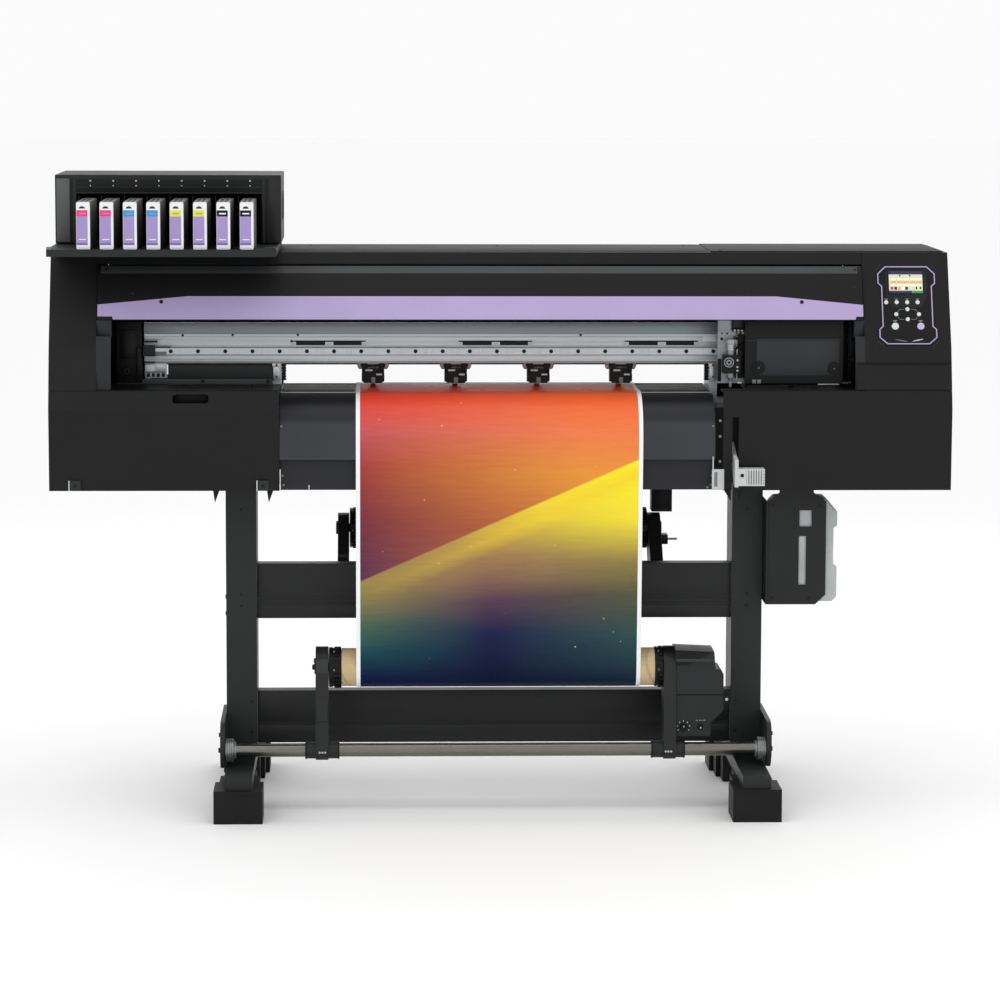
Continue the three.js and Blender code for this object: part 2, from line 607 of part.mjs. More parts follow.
// ---- media ----
// Sheet from the back of the supply roll, over rear guide, platen and apron, to the take-up roll
const mediaWeb = () => {
  const lift = 1;
  const rear = rearGuideTop().map(([y, z]) => [y, z + 0.5]).reverse();
  const front = apronTop();
  const line = [
    [SUPPLY.y + SUPPLY.wound + 0.2, SUPPLY.z], [rear[0][0] + lift, REAR_GUIDE.foot],
    [rear[0][0] + lift, rear[0][1]],
    ...rear.slice(1, -1).map(([y, z]) => [y + lift, z + lift]),
    [rear.at(-1)[0], PLATEN_TOP + GAP], [PLATEN_FRONT, PLATEN_TOP + GAP],
    ...front.slice(1, -1).map(([y, z]) => [y - lift, z + GAP]),
    [front.at(-1)[0] - lift, front.at(-1)[1]], [front.at(-1)[0] - lift, APRON.foot],
    [TAKE_UP.y - TAKE_UP.wound - 0.3, TAKE_UP.z],
  ];
  const left = MEDIA_CENTRE - MEDIA_WIDTH / 2;
  add('media_web', prismX(sheetOutline(line, -MEDIA_THICKNESS), left, left + MEDIA_WIDTH), VINYL);
};

stand();
takeUpRail();
baseFrame();
platen();
frontApron();
rearGuide();
lowerCovers();
sideCovers();
topCover();
frontCover();
controlPanel();
yBar();
gritRoller();
pinchArms();
printCarriage();
cutterPen();
clampLever();
inkUnit();
cartridges();
wasteTank();
takeUp();
supply();
mediaWeb();

export default machine;
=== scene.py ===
import json
import math

import bmesh
import bpy
from mathutils import Matrix, Vector


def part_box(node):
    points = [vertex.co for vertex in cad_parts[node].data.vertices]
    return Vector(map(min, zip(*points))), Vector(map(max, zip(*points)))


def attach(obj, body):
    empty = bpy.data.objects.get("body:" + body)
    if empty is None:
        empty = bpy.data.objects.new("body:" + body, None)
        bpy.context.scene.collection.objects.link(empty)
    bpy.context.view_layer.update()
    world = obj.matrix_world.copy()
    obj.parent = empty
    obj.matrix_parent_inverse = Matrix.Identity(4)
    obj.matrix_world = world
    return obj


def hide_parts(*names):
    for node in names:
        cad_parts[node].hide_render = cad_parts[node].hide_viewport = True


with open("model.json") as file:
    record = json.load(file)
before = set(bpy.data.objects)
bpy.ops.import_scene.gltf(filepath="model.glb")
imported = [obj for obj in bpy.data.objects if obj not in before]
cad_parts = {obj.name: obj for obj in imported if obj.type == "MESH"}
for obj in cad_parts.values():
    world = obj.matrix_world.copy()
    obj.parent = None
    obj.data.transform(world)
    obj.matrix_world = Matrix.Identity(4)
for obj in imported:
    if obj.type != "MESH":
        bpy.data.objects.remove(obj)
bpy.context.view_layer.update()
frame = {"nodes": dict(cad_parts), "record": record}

MM = 0.001
scene = bpy.context.scene


# ---- places ----
class Box:
    """A CAD node's box at rest, in millimetres."""

    def __init__(self, node):
        low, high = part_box(node)
        self.x0, self.y0, self.z0 = (v / MM for v in low)
        self.x1, self.y1, self.z1 = (v / MM for v in high)
        self.x, self.y, self.z = ((a + b) / 2 for a, b in ((self.x0, self.x1), (self.y0, self.y1), (self.z0, self.z1)))


BODY_OF = {node: body for body, nodes in frame["record"]["behaviour"]["bodies"].items() for node in nodes}
STATIC = BODY_OF["base_frame"]
SLOT_OF = {part["node"]: part["material_slot"] for part in frame["record"]["subparts"]}


# ---- camera, light and floor ----
def make_camera():
    data = bpy.data.cameras.new("camera")
    data.sensor_width = 36
    data.lens = 136.33
    data.clip_end = 80
    camera = bpy.data.objects.new("camera", data)
    scene.collection.objects.link(camera)
    camera.location = (-0.2808, -8.4082, 1.6752)
    camera.rotation_euler = (math.radians(83.144), math.radians(-0.159), math.radians(-1.918))
    scene.camera = camera


def area_light(name, location, target, size, power, colour=(1, 1, 1)):
    data = bpy.data.lights.new(name, "AREA")
    data.shape = "RECTANGLE"
    data.size, data.size_y = size
    data.energy = power
    data.color = colour
    light = bpy.data.objects.new(name, data)
    scene.collection.objects.link(light)
    light.location = location
    light.rotation_euler = (Vector(target) - Vector(location)).to_track_quat("-Z", "Y").to_euler()


def make_stage():
    world = bpy.data.worlds.new("studio")
    world.use_nodes = True
    nodes, links = world.node_tree.nodes, world.node_tree.links
    background = nodes["Background"]
    coordinates = nodes.new("ShaderNodeTexCoord")
    split = nodes.new("ShaderNodeSeparateXYZ")
    ramp = nodes.new("ShaderNodeValToRGB")
    ramp.color_ramp.elements[0].position = 0.0
    ramp.color_ramp.elements[0].color = (0.99, 0.99, 0.99, 1)
    ramp.color_ramp.elements[1].position = 0.9
    ramp.color_ramp.elements[1].color = (1.0, 1.0, 1.0, 1)
    links.new(coordinates.outputs["Generated"], split.inputs[0])
    links.new(split.outputs["Z"], ramp.inputs[0])
    links.new(ramp.outputs[0], background.inputs["Color"])
    background.inputs["Strength"].default_value = 0.98
    scene.world = world
    mesh = bpy.data.meshes.new("floor")
    mesh.from_pydata([(-60, -60, 0), (60, -60, 0), (60, 60, 0), (-60, 60, 0)], [], [(0, 1, 2, 3)])
    floor = bpy.data.objects.new("floor", mesh)
    scene.collection.objects.link(floor)
    paint = bpy.data.materials.new("floor_paint")
    paint.use_nodes = True
    shader = paint.node_tree.nodes["Principled BSDF"]
    shader.inputs["Base Color"].default_value = (0.975, 0.975, 0.975, 1)
    shader.inputs["Roughness"].default_value = 0.85
    mesh.materials.append(paint)
    area_light("key", (-2.6, -4.6, 3.4), (-0.1, 0, 0.8), (2.4, 1.8), 26)
    area_light("fill", (3.2, -3.6, 1.9), (0.3, 0, 0.8), (1.6, 2.2), 12)
    area_light("top", (0.2, -0.4, 4.2), (0, 0, 0.8), (3.4, 1.6), 20)
    area_light("rear", (0.6, 4.2, 2.6), (0, 0, 0.8), (2.6, 1.4), 10)
    scene.view_settings.view_transform = "Standard"


# ---- materials ----
def rgb(code):
    """Linear colour of a #rrggbb code."""
    parts = [int(code[i:i + 2], 16) / 255 for i in (1, 3, 5)]
    return tuple(c / 12.92 if c <= 0.04045 else ((c + 0.055) / 1.055) ** 2.4 for c in parts) + (1,)


def shade(colour, factor):
    return tuple(min(1, c * factor) for c in colour[:3]) + (1,)


class Graph:
    """A material's nodes, with object coordinates at hand."""

    def __init__(self, name):
        self.material = bpy.data.materials.new(name)
        self.material.use_nodes = True
        self.nodes, self.links = self.material.node_tree.nodes, self.material.node_tree.links
        self.shader = self.nodes["Principled BSDF"]
        self.point = self.nodes.new("ShaderNodeTexCoord").outputs["Object"]

    def put(self, kind, inputs=None, **settings):
        node = self.nodes.new(kind)
        for key, value in settings.items():
            setattr(node, key, value)
        for key, value in (inputs or {}).items():
            socket = node.inputs[key]
            if isinstance(value, bpy.types.NodeSocket):
                self.links.new(value, socket)
            else:
                socket.default_value = value
        return node

    def noise(self, scale, stretch=(1, 1, 1), detail=3, roughness=0.5):
        mapped = self.put("ShaderNodeMapping", {"Vector": self.point, "Scale": stretch})
        return self.put("ShaderNodeTexNoise", {
            "Vector": mapped.outputs[0], "Scale": scale, "Detail": detail, "Roughness": roughness}).outputs["Fac"]

    def ramp(self, value, stops, kind="LINEAR"):
        node = self.put("ShaderNodeValToRGB", {"Fac": value})
        node.color_ramp.interpolation = kind
        while len(node.color_ramp.elements) < len(stops):
            node.color_ramp.elements.new(0.5)
        for element, (position, colour) in zip(node.color_ramp.elements, stops):
            element.position, element.color = position, colour
        return node.outputs[0]

    def math(self, operation, a, b=0.0, clamp=False):
        node = self.put("ShaderNodeMath", {0: a, 1: b}, operation=operation, use_clamp=clamp)
        return node.outputs[0]

    def mix(self, fac, a, b, kind="MIX"):
        return self.put("ShaderNodeMixRGB", {"Fac": fac, "Color1": a, "Color2": b}, blend_type=kind).outputs[0]

    def spread(self, value, low, high):
        return self.put("ShaderNodeMapRange", {"Value": value, "To Min": low, "To Max": high}).outputs[0]

    def bump(self, height, distance, strength=1.0, normal=None):
        inputs = {"Height": height, "Distance": distance, "Strength": strength}
        if normal is not None:
            inputs["Normal"] = normal
        return self.put("ShaderNodeBump", inputs).outputs[0]

    def set(self, **inputs):
        for key, value in inputs.items():
            socket = self.shader.inputs[key.replace("_", " ")]
            if isinstance(value, bpy.types.NodeSocket):
                self.links.new(value, socket)
            else:
                socket.default_value = value
        return self.material


def moulded(name, colour, rough=0.5, grain=900, depth=0.00006, cloud=0.12, gloss_level=0.2, **more):
    """Moulded plastic: fine texture, faint mottling and uneven gloss."""
    g = Graph(name)
    large = g.noise(6, detail=2)
    fine = g.noise(grain, detail=2)
    base = g.ramp(large, [(0.3, shade(colour, 1 - cloud)), (0.7, shade(colour, 1 + cloud))])
    speck = g.noise(grain * 0.6, detail=1)
    base = g.mix(g.ramp(speck, [(0.62, (0, 0, 0, 1)), (0.8, (0.22, 0.22, 0.22, 1))]), base, shade(colour, 1.8))
    gloss = g.spread(g.noise(22, detail=4), rough - 0.07, rough + 0.07)
    return g.set(Base_Color=base, Roughness=gloss, Normal=g.bump(fine, depth), Specular_IOR_Level=gloss_level, **more)


def powder_coat(name, colour, rough=0.42, cloud=0.1, bands=None):
    """Baked powder paint: orange peel and faint dust; bands darken it by height on folded sheet, as painted shade on
    the facets that face away from the light.
    """
    g = Graph(name)
    peel = g.bump(g.noise(260, detail=2), 0.00012, 0.6)
    fine = g.bump(g.noise(1400, detail=1), 0.00003, 0.5, peel)
    base = g.ramp(g.noise(5, detail=3), [(0.3, shade(colour, 1 - cloud)), (0.7, shade(colour, 1 + cloud))])
    # painted shade: the bands darken the paint by height
    if bands:
        (low, high), stops = bands
        height = g.put("ShaderNodeSeparateXYZ", {0: g.point}).outputs["Z"]
        level = g.math("DIVIDE", g.math("SUBTRACT", height, low), high - low)
        tone = g.ramp(level, [(at, (f, f, f, 1)) for at, f in stops])
        base = g.mix(1.0, base, tone, "MULTIPLY")
    dust = g.ramp(g.noise(420, detail=3), [(0.66, (0, 0, 0, 1)), (0.82, (0.3, 0.3, 0.3, 1))])
    gloss = g.spread(g.noise(18, detail=4), rough - 0.08, rough + 0.08)
    return g.set(Base_Color=g.mix(dust, base, shade(colour, 2.2)), Roughness=gloss, Normal=fine, Specular_IOR_Level=0.25)


def brushed(name, colour, rough=0.3, stretch=(0.02, 1, 1), scale=420, metal=1.0, depth=0.00003):
    """Metal with fine lines along one way and slow changes of tone."""
    g = Graph(name)
    lines = g.noise(scale, stretch, detail=4, roughness=0.7)
    tone = g.mix(0.35, g.ramp(lines, [(0.3, shade(colour, 0.82)), (0.7, shade(colour, 1.12))]),
                 g.ramp(g.noise(7, detail=2), [(0.3, shade(colour, 0.9)), (0.7, shade(colour, 1.08))]))
    return g.set(Base_Color=tone, Metallic=metal, Roughness=g.spread(lines, rough - 0.08, rough + 0.12),
                 Normal=g.bump(lines, depth))


def card(name):
    """Spiral-wound card tube: one seam line round the tube and fibres."""
    g = Graph(name)
    colour = rgb("#c4ad84")
    mapped = g.put("ShaderNodeMapping", {"Vector": g.point, "Rotation": (0.5, 0, 0.5)})
    seam = g.put("ShaderNodeTexWave", {"Vector": mapped.outputs[0], "Scale": 9, "Distortion": 0.4, "Detail": 1},
                 bands_direction="X").outputs["Fac"]
    fibres = g.noise(500, (0.3, 1, 1), detail=4, roughness=0.7)
    base = g.ramp(fibres, [(0.25, shade(colour, 0.84)), (0.75, shade(colour, 1.12))])
    base = g.mix(g.ramp(seam, [(0.90, (0, 0, 0, 1)), (0.97, (0.5, 0.5, 0.5, 1))]), base, shade(colour, 0.55))
    return g.set(Base_Color=base, Roughness=0.86, Normal=g.bump(fibres, 0.00012))


def white_film(name):
    """Unprinted vinyl film, with faint lines where the turns end."""
    g = Graph(name)
    turns = g.noise(700, (1, 0.05, 0.05), detail=2)
    base = g.ramp(turns, [(0.3, rgb("#e6e7ea")), (0.7, rgb("#f6f7f8"))])
    return g.set(Base_Color=base, Roughness=g.spread(g.noise(14, detail=3), 0.24, 0.36), Normal=g.bump(turns, 0.00002))


def printed_film(name, left, right, top, bottom):
    """Film with a soft abstract print: warm above a rising diagonal, yellow under it, dark blue at the foot."""
    g = Graph(name)
    split = g.put("ShaderNodeSeparateXYZ", {0: g.point})
    across = g.math("DIVIDE", g.math("SUBTRACT", split.outputs["X"], left), right - left)
    down = g.math("DIVIDE", g.math("SUBTRACT", top, split.outputs["Z"]), top - bottom)
    depth = g.math("ADD", split.outputs["Y"], 0.130)
    curve = g.math("MULTIPLY", g.math("MAXIMUM", g.math("MULTIPLY", depth, 3.0), 0.0), -1.0)
    drift = g.math("MULTIPLY", g.math("SUBTRACT", g.noise(2.4, (1, 1, 2.4), detail=2), 0.5), 0.10)
    straight = g.math("ADD", down, curve)
    down = g.math("ADD", straight, drift)
    warm_left = g.ramp(down, [(0.0, rgb("#e2402e")), (0.13, rgb("#bd5458")), (0.24, rgb("#9c3c3a")),
                              (0.42, rgb("#74303e")), (0.62, rgb("#56304c"))])
    warm_right = g.ramp(down, [(0.0, rgb("#ee6030")), (0.13, rgb("#e67a4a")), (0.26, rgb("#e2923c")),
                               (0.45, rgb("#c97038"))])
    cool_left = g.ramp(down, [(0.34, rgb("#c8a648")), (0.66, rgb("#94824a")), (0.77, rgb("#4a6650")),
                              (0.88, rgb("#1a4a52")), (0.97, rgb("#06163c"))])
    cool_right = g.ramp(down, [(0.24, rgb("#f4e626")), (0.42, rgb("#ecd83c")), (0.56, rgb("#8c7c48")),
                               (0.68, rgb("#54543e")), (0.82, rgb("#2c4a4c")), (0.97, rgb("#0c2234"))])
    cool_mid = g.ramp(down, [(0.36, rgb("#e6c83a")), (0.55, rgb("#9c7850")), (0.68, rgb("#553c50")),
                             (0.80, rgb("#1c2248")), (0.95, rgb("#050f30"))])
    warm = g.mix(g.math("MULTIPLY", across, 1.25, True), warm_left, warm_right)
    first = g.math("MULTIPLY", across, 2.2, True)
    second = g.math("SUBTRACT", g.math("MULTIPLY", across, 2.2), 1.1, True)
    cool = g.mix(second, g.mix(first, cool_left, cool_mid), cool_right)
    edge = g.math("ADD", g.math("MULTIPLY", across, 0.427), g.math("SUBTRACT", straight, 0.635))
    below = g.math("MULTIPLY", g.math("ADD", edge, 0.004), 140, True)
    ridge = g.math("SUBTRACT", 1.0, g.math("MULTIPLY", g.math("ABSOLUTE", g.math("SUBTRACT", edge, 0.05)), 20), True)
    design = g.mix(below, warm, cool)
    design = g.mix(g.math("MULTIPLY", ridge, g.math("MULTIPLY", below, g.math("MULTIPLY", across, 0.8))), design, rgb("#f0cc34"))
    # painted sheen: soft bands of light and shade mixed into the print colour
    painted_sheen = g.noise(3, (5, 5, 60), detail=2)
    design = g.mix(0.07, design, g.ramp(painted_sheen, [(0.35, shade(rgb("#6a6a6a"), 0.6)), (0.65, rgb("#f4f0e8"))]), "SOFT_LIGHT")
    flecks = g.put("ShaderNodeTexVoronoi", {"Vector": g.point, "Scale": 24}, feature="F1").outputs["Distance"]
    fleck = g.ramp(flecks, [(0.0, (0.9, 0.9, 0.9, 1)), (0.035, (0.4, 0.4, 0.4, 1)), (0.06, (0, 0, 0, 1))])
    design = g.mix(g.math("MULTIPLY", fleck, 0.75), design, rgb("#efe3c2"))
    margin = 9 * MM
    inside = g.math("MULTIPLY", g.math("GREATER_THAN", split.outputs["X"], left + margin),
                    g.math("LESS_THAN", split.outputs["X"], right - margin))
    inside = g.math("MULTIPLY", inside, g.math("LESS_THAN", split.outputs["Y"], 0.06))
    inside = g.math("MULTIPLY", inside, g.math("GREATER_THAN", split.outputs["Z"], bottom))
    base = g.mix(inside, rgb("#eceef1"), design)
    wave = g.bump(g.noise(3.2, detail=1), 0.0012, 0.2)
    return g.set(Base_Color=base, Roughness=g.spread(g.noise(9, detail=3), 0.24, 0.34), Normal=wave,
                 Specular_IOR_Level=0.08)


def natural_plastic(name):
    """Milky blow-moulded bottle wall."""
    g = Graph(name)
    cloud = g.noise(9, detail=3)
    base = g.ramp(cloud, [(0.3, rgb("#a2a6a6")), (0.7, rgb("#babdbd"))])
    normal = g.bump(g.noise(60, detail=2), 0.0004, 0.4)
    return g.set(Base_Color=base, Roughness=g.spread(cloud, 0.3, 0.42), Normal=normal,
                 Subsurface_Weight=0.25, Subsurface_Radius=(0.02, 0.02, 0.02), Subsurface_Scale=0.5)


COVER = moulded("cover_texture", rgb("#131314"), 0.46)
COVER_DARK = moulded("cover_shadow_texture", rgb("#08080a"), 0.5)
COVER_LIGHT = moulded("cover_trim_texture", rgb("#262829"), 0.45)
COVER_TOP = moulded("cover_top_texture", rgb("#252627"), 0.58, gloss_level=0.09)
# painted highlight: a lighter copy of the cover plastic for the bevel strip and the bar ledge, where light falls from
# above
PAINTED_LIGHT_STRIP = moulded("painted_light_strip_texture", rgb("#3c3f41"), 0.45)
APRON = powder_coat("apron_paint", rgb("#34353a"), 0.42)
STAND = powder_coat("stand_paint", rgb("#1c1d1d"), 0.45)
COLUMN = powder_coat("column_paint", rgb("#222424"), 0.45)
FRAME = powder_coat("frame_paint", rgb("#18191b"), 0.42)
FOOT = moulded("foot_texture", rgb("#111111"), 0.55)
ARM = moulded("arm_texture", rgb("#262728"), 0.45)
# lighter arm plastic for bands, ribs and strips; on the drive's top shoulder it is a painted highlight
ARM_LIGHT = moulded("arm_band_and_highlight_texture", rgb("#363738"), 0.42)
NYLON = moulded("nylon_texture", rgb("#0d0d0e"), 0.42, 1300, 0.00005)
RUBBER = moulded("rubber_texture", rgb("#0a0a0b"), 0.75, 700, 0.00009)
VIOLET = moulded("violet_paint", rgb("#a999c3"), 0.38, 1200, 0.00003, 0.035, 0.4)
PANEL = moulded("fascia_texture", rgb("#0e0e10"), 0.42, 1400, 0.00004)
INK = moulded("ink_unit_texture", rgb("#242526"), 0.48)
INK_DARK = moulded("ink_slot_texture", rgb("#111213"), 0.55)
GREY = moulded("grey_texture", rgb("#bdc0bf"), 0.45, 900, 0.00005, 0.05, 0.4)
MID_GREY = moulded("mid_grey_texture", rgb("#6f7273"), 0.45, 900, 0.00005, 0.06, 0.4)
WHITE = moulded("white_texture", rgb("#e2e4e6"), 0.36, 1300, 0.00002, 0.03, 0.4)
KEY_WHITE = moulded("key_texture", rgb("#ccd2cc"), 0.40, 1500, 0.00002, 0.03, 0.4)
KEY_VIOLET = moulded("violet_key_texture", rgb("#b9add0"), 0.40, 1500, 0.00002, 0.03, 0.4)
BAR = brushed("bar_anodised", rgb("#c0c6c9"), 0.40, metal=0.6)
BAR_DARK = brushed("bar_shaded_anodised", rgb("#868d91"), 0.42, metal=0.6)
PLATEN = brushed("platen_anodised", rgb("#a5a49c"), 0.45, metal=0.25)
PLATE = brushed("pressed_plate", rgb("#8b8f92"), 0.4, (1, 1, 0.1), 300, metal=0.6)
STEEL = brushed("bright_steel", rgb("#b9babb"), 0.28, metal=0.8)
TUBE = brushed("tube_steel", rgb("#77756f"), 0.26)
RAIL = brushed("rail_steel", rgb("#bcbec0"), 0.30, (1, 1, 0.2), 160, metal=0.7, depth=0.0001)
BLACK_STEEL = brushed("black_oxide", rgb("#2a2a2b"), 0.36, (1, 1, 1), 300)
CARD = card("core_card")
FILM = white_film("film")
BOTTLE = natural_plastic("bottle_wall")


# Front apron with painted shade by height: a dark lower strip, a painted shadow just under the ledge, the lit facet at
# full colour, then darker again up the curve
APRON_PAINTED_SHADE = powder_coat("apron_paint_with_painted_shade", rgb("#34353a"), 0.42, bands=(
    (0.715, 0.930), [(0.26, 0.42), (0.285, 0.22), (0.30, 1.0), (0.66, 0.9), (0.70, 0.45), (0.97, 0.25)]))


# ---- mesh building, in millimetres ----
class Build:
    """Collects solids of several finishes into one mesh."""

    def __init__(self, place=None):
        self.bm = bmesh.new()
        self.finishes = []
        self.place = place or Matrix.Identity(4)

    def keep(self, bm, finish, bevel, segments=2, angle=28):
        if bevel:
            edges = [e for e in bm.edges if len(e.link_faces) == 2 and e.calc_face_angle(0) > math.radians(angle)]
            bmesh.ops.bevel(bm, geom=edges, offset=bevel, segments=segments, profile=0.5, affect="EDGES",
                            clamp_overlap=True)
        if finish not in self.finishes:
            self.finishes.append(finish)
        bmesh.ops.recalc_face_normals(bm, faces=bm.faces)
        bm.transform(self.place)
        for face in bm.faces:
            face.material_index = self.finishes.index(finish)
            face.smooth = True
        mesh = bpy.data.meshes.new("part")
        bm.to_mesh(mesh)
        bm.free()
        self.bm.from_mesh(mesh)
        bpy.data.meshes.remove(mesh)
        return self

    def block(self, low, high, finish, bevel=0.5, segments=2, turn=None):
        bm = bmesh.new()
        bmesh.ops.create_cube(bm, size=1)
        size = [b - a for a, b in zip(low, high)]
        middle = Vector([(a + b) / 2 for a, b in zip(low, high)])
        matrix = Matrix.Translation(middle) @ (turn or Matrix.Identity(4)) @ Matrix.Diagonal((*size, 1))
        bm.transform(matrix)
        return self.keep(bm, finish, min(bevel, min(size) * 0.45), segments)

    def prism(self, outline, axis, start, end, finish, bevel=0.4, segments=2):
        """An outline drawn out along an axis: [y, z] along x, [x, z] along y or [x, y] along z."""
        bm = bmesh.new()
        spot = {"x": lambda a, b, c: (c, a, b), "y": lambda a, b, c: (a, c, b), "z": lambda a, b, c: (a, b, c)}[axis]
        bottom = [bm.verts.new(spot(a, b, start)) for a, b in outline]
        top = [bm.verts.new(spot(a, b, end)) for a, b in outline]
        bm.faces.new(bottom)
        bm.faces.new(top[::-1])
        for i in range(len(outline)):
            j = (i + 1) % len(outline)
            bm.faces.new((bottom[i], top[i], top[j], bottom[j]))
        return self.keep(bm, finish, bevel, segments)

    def lathe(self, profile, axis, centre, finish, sides=40, bevel=0.3):
        """A profile of [along, radius] points from axis to axis, turned about a line through centre."""
        bm = bmesh.new()
        basis = {"x": ((0, 1, 0), (0, 0, 1), (1, 0, 0)), "y": ((0, 0, 1), (1, 0, 0), (0, 1, 0)),
                 "z": ((1, 0, 0), (0, 1, 0), (0, 0, 1))}[axis]
        u, v, w = (Vector(b) for b in basis)
        middle = Vector(centre)
        rings = []
        for along, radius in profile:
            if radius <= 1e-6:
                rings.append([bm.verts.new(middle + w * along)])
                continue
            rings.append([bm.verts.new(middle + w * along + radius * (
                u * math.cos(2 * math.pi * i / sides) + v * math.sin(2 * math.pi * i / sides))) for i in range(sides)])
        for a, b in zip(rings, rings[1:]):
            for i in range(sides):
                j = (i + 1) % sides
                ring = [a[i % len(a)], a[j % len(a)], b[j % len(b)], b[i % len(b)]]
                ring = [v for k, v in enumerate(ring) if v not in ring[:k]]
                if len(ring) > 2:
                    bm.faces.new(ring)
        return self.keep(bm, finish, bevel, 2, 25)

    def rod(self, radius, axis, start, end, centre, finish, sides=32, bevel=0.4):
        return self.lathe([(start, 0), (start, radius), (end, radius), (end, 0)], axis, centre, finish, sides, bevel)

    def screw(self, axis, at, radius=3.2, finish=None, out=-1, height=1.4):
        """A socket screw head standing on a surface; out is the sign of the way it faces."""
        finish = finish or BLACK_STEEL
        centre = Vector(at)
        profile = [(0, 0), (0, radius), (height * out, radius * 0.92), (height * out, radius * 0.5),
                   (height * 0.45 * out, radius * 0.46), (height * 0.45 * out, 0)]
        return self.lathe(profile, axis, centre, finish, 20, 0)

    def tube(self, points, radius, finish, sides=10, closed=False):
        """A round wire along a line of points."""
        bm = bmesh.new()
        points = [Vector(p) for p in points]
        rings = []
        up = Vector((0, 0, 1))
        for i, point in enumerate(points):
            ahead = points[(i + 1) % len(points)] if closed or i + 1 < len(points) else point
            behind = points[i - 1] if closed or i else point
            way = (ahead - behind).normalized()
            side = way.cross(up)
            side = side.normalized() if side.length > 1e-4 else Vector((1, 0, 0))
            other = side.cross(way)
            rings.append([bm.verts.new(point + radius * (side * math.cos(2 * math.pi * k / sides)
                                                         + other * math.sin(2 * math.pi * k / sides)))
                          for k in range(sides)])
        pairs = list(zip(rings, rings[1:])) + ([(rings[-1], rings[0])] if closed else [])
        for a, b in pairs:
            for k in range(sides):
                n = (k + 1) % sides
                bm.faces.new((a[k], a[n], b[n], b[k]))
        if not closed:
            bm.faces.new(rings[0][::-1])
            bm.faces.new(rings[-1])
        return self.keep(bm, finish, 0)

    def done(self, name, body, replaces=(), slot=None):
        mesh = bpy.data.meshes.new(name)
        self.bm.transform(Matrix.Scale(MM, 4))
        self.bm.to_mesh(mesh)
        self.bm.free()
        for finish in self.finishes:
            mesh.materials.append(finish)
        mesh.set_sharp_from_angle(angle=math.radians(34))
        piece = bpy.data.objects.new(name, mesh)
        scene.collection.objects.link(piece)
        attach(piece, body)
        if replaces:
            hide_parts(*replaces)
        return piece


def dress(node, finish, bevel=0.8, segments=2, split=None):
    """Gives a CAD node its finish and soft edges. split is (test of a face centre in mm, other finish)."""
    thing = frame["nodes"][node]
    mesh = thing.data
    if "custom_normal" in mesh.attributes:
        mesh.attributes.remove(mesh.attributes["custom_normal"])
    mesh.materials.clear()
    mesh.materials.append(finish)
    if split:
        mesh.materials.append(split[1])
    for face in mesh.polygons:
        face.use_smooth = True
        face.material_index = 1 if split and split[0](*(v / MM for v in face.center)) else 0
    weld = thing.modifiers.new("weld", "WELD")
    weld.merge_threshold = 1e-5
    if bevel:
        edge = thing.modifiers.new("edges", "BEVEL")
        edge.width = bevel * MM
        edge.segments = segments
        edge.limit_method = "ANGLE"
        edge.angle_limit = math.radians(28)
        edge.miter_outer = "MITER_ARC"
    normals = thing.modifiers.new("shading", "WEIGHTED_NORMAL")
    normals.keep_sharp = True


def arc(cx, cy, a, b, start, end, steps):
    return [(cx + a * math.cos(math.radians(start + (end - start) * i / steps)),
             cy + b * math.sin(math.radians(start + (end - start) * i / steps))) for i in range(steps + 1)]


# ---- covers ----
def front_cover():
    cover = Box("front_cover")
    top, bottom = (-143, 1178), (-177, 1079)
    length = math.hypot(bottom[0] - top[0], bottom[1] - top[1])
    down = Vector((0, bottom[0] - top[0], bottom[1] - top[1])) / length
    out = Vector((0, down.z, -down.y))
    face = Matrix((
        (1, 0, 0, 0), (0, -out.y, -down.y, top[0]), (0, -out.z, -down.z, top[1]), (0, 0, 0, 1)))
    drop = lambda z: (z - top[1]) / -down.z
    b = Build(face)
    left, right = cover.x0, cover.x1
    high, low, foot = drop(1130), drop(1112), drop(1080.5)
    step = drop(1087)
    trim = [(left, low), (left + 196, high), (right - 190, high), (right, low), (right, step), (right - 15, step),
            (right - 17, foot), (left + 34, foot), (left + 32, step), (left, step)]
    b.prism(trim, "y", -1.2, 0.4, VIOLET, 0.35)
    for x in (left + 138, right - 134):
        b.lathe([(-1.2, 0), (-1.2, 4.2), (-2.2, 3.8), (-2.2, 2.0), (-1.5, 1.8), (-1.5, 0)], "y", (x, 0, drop(1118)), BLACK_STEEL, 20, 0)
    for x, z in ((left + 76, 1136), (left + 68, 1114.5), (right - 18, 1150), (right - 14, 1119)):
        b.screw("y", (x, 0, drop(z)), 2.4, COVER_LIGHT, height=0.8)
    b.block((left + 4, -0.6, drop(1079.6)), (right - 4, 0.2, drop(1081.2)), COVER_DARK, 0.1)
    b.done("front_cover_trim", "front_cover", slot=SLOT_OF["front_cover"])

    chamfer_top, chamfer_foot = (-125, 1195), (-143, 1178)
    span = math.hypot(18, 17)
    along = Vector((0, chamfer_foot[0] - chamfer_top[0], chamfer_foot[1] - chamfer_top[1])) / span
    normal = Vector((0, along.z, -along.y))
    slope = Matrix((
        (1, 0, 0, 0), (0, -normal.y, -along.y, chamfer_top[0]), (0, -normal.z, -along.z, chamfer_top[1]), (0, 0, 0, 1)))
    c = Build(slope)
    # bevel strip painted lighter: painted highlight of the light from above
    c.block((left + 6, -0.8, -span + 1.5), (right - 10, 0.3, -2.0), PAINTED_LIGHT_STRIP, 0.4)
    for x in (right - 15, left + 18):
        c.screw("y", (x, -0.8, -span / 2), 3.0, BLACK_STEEL, height=1.0)
    c.done("front_cover_bevel_strip", "front_cover", slot=SLOT_OF["front_cover"])


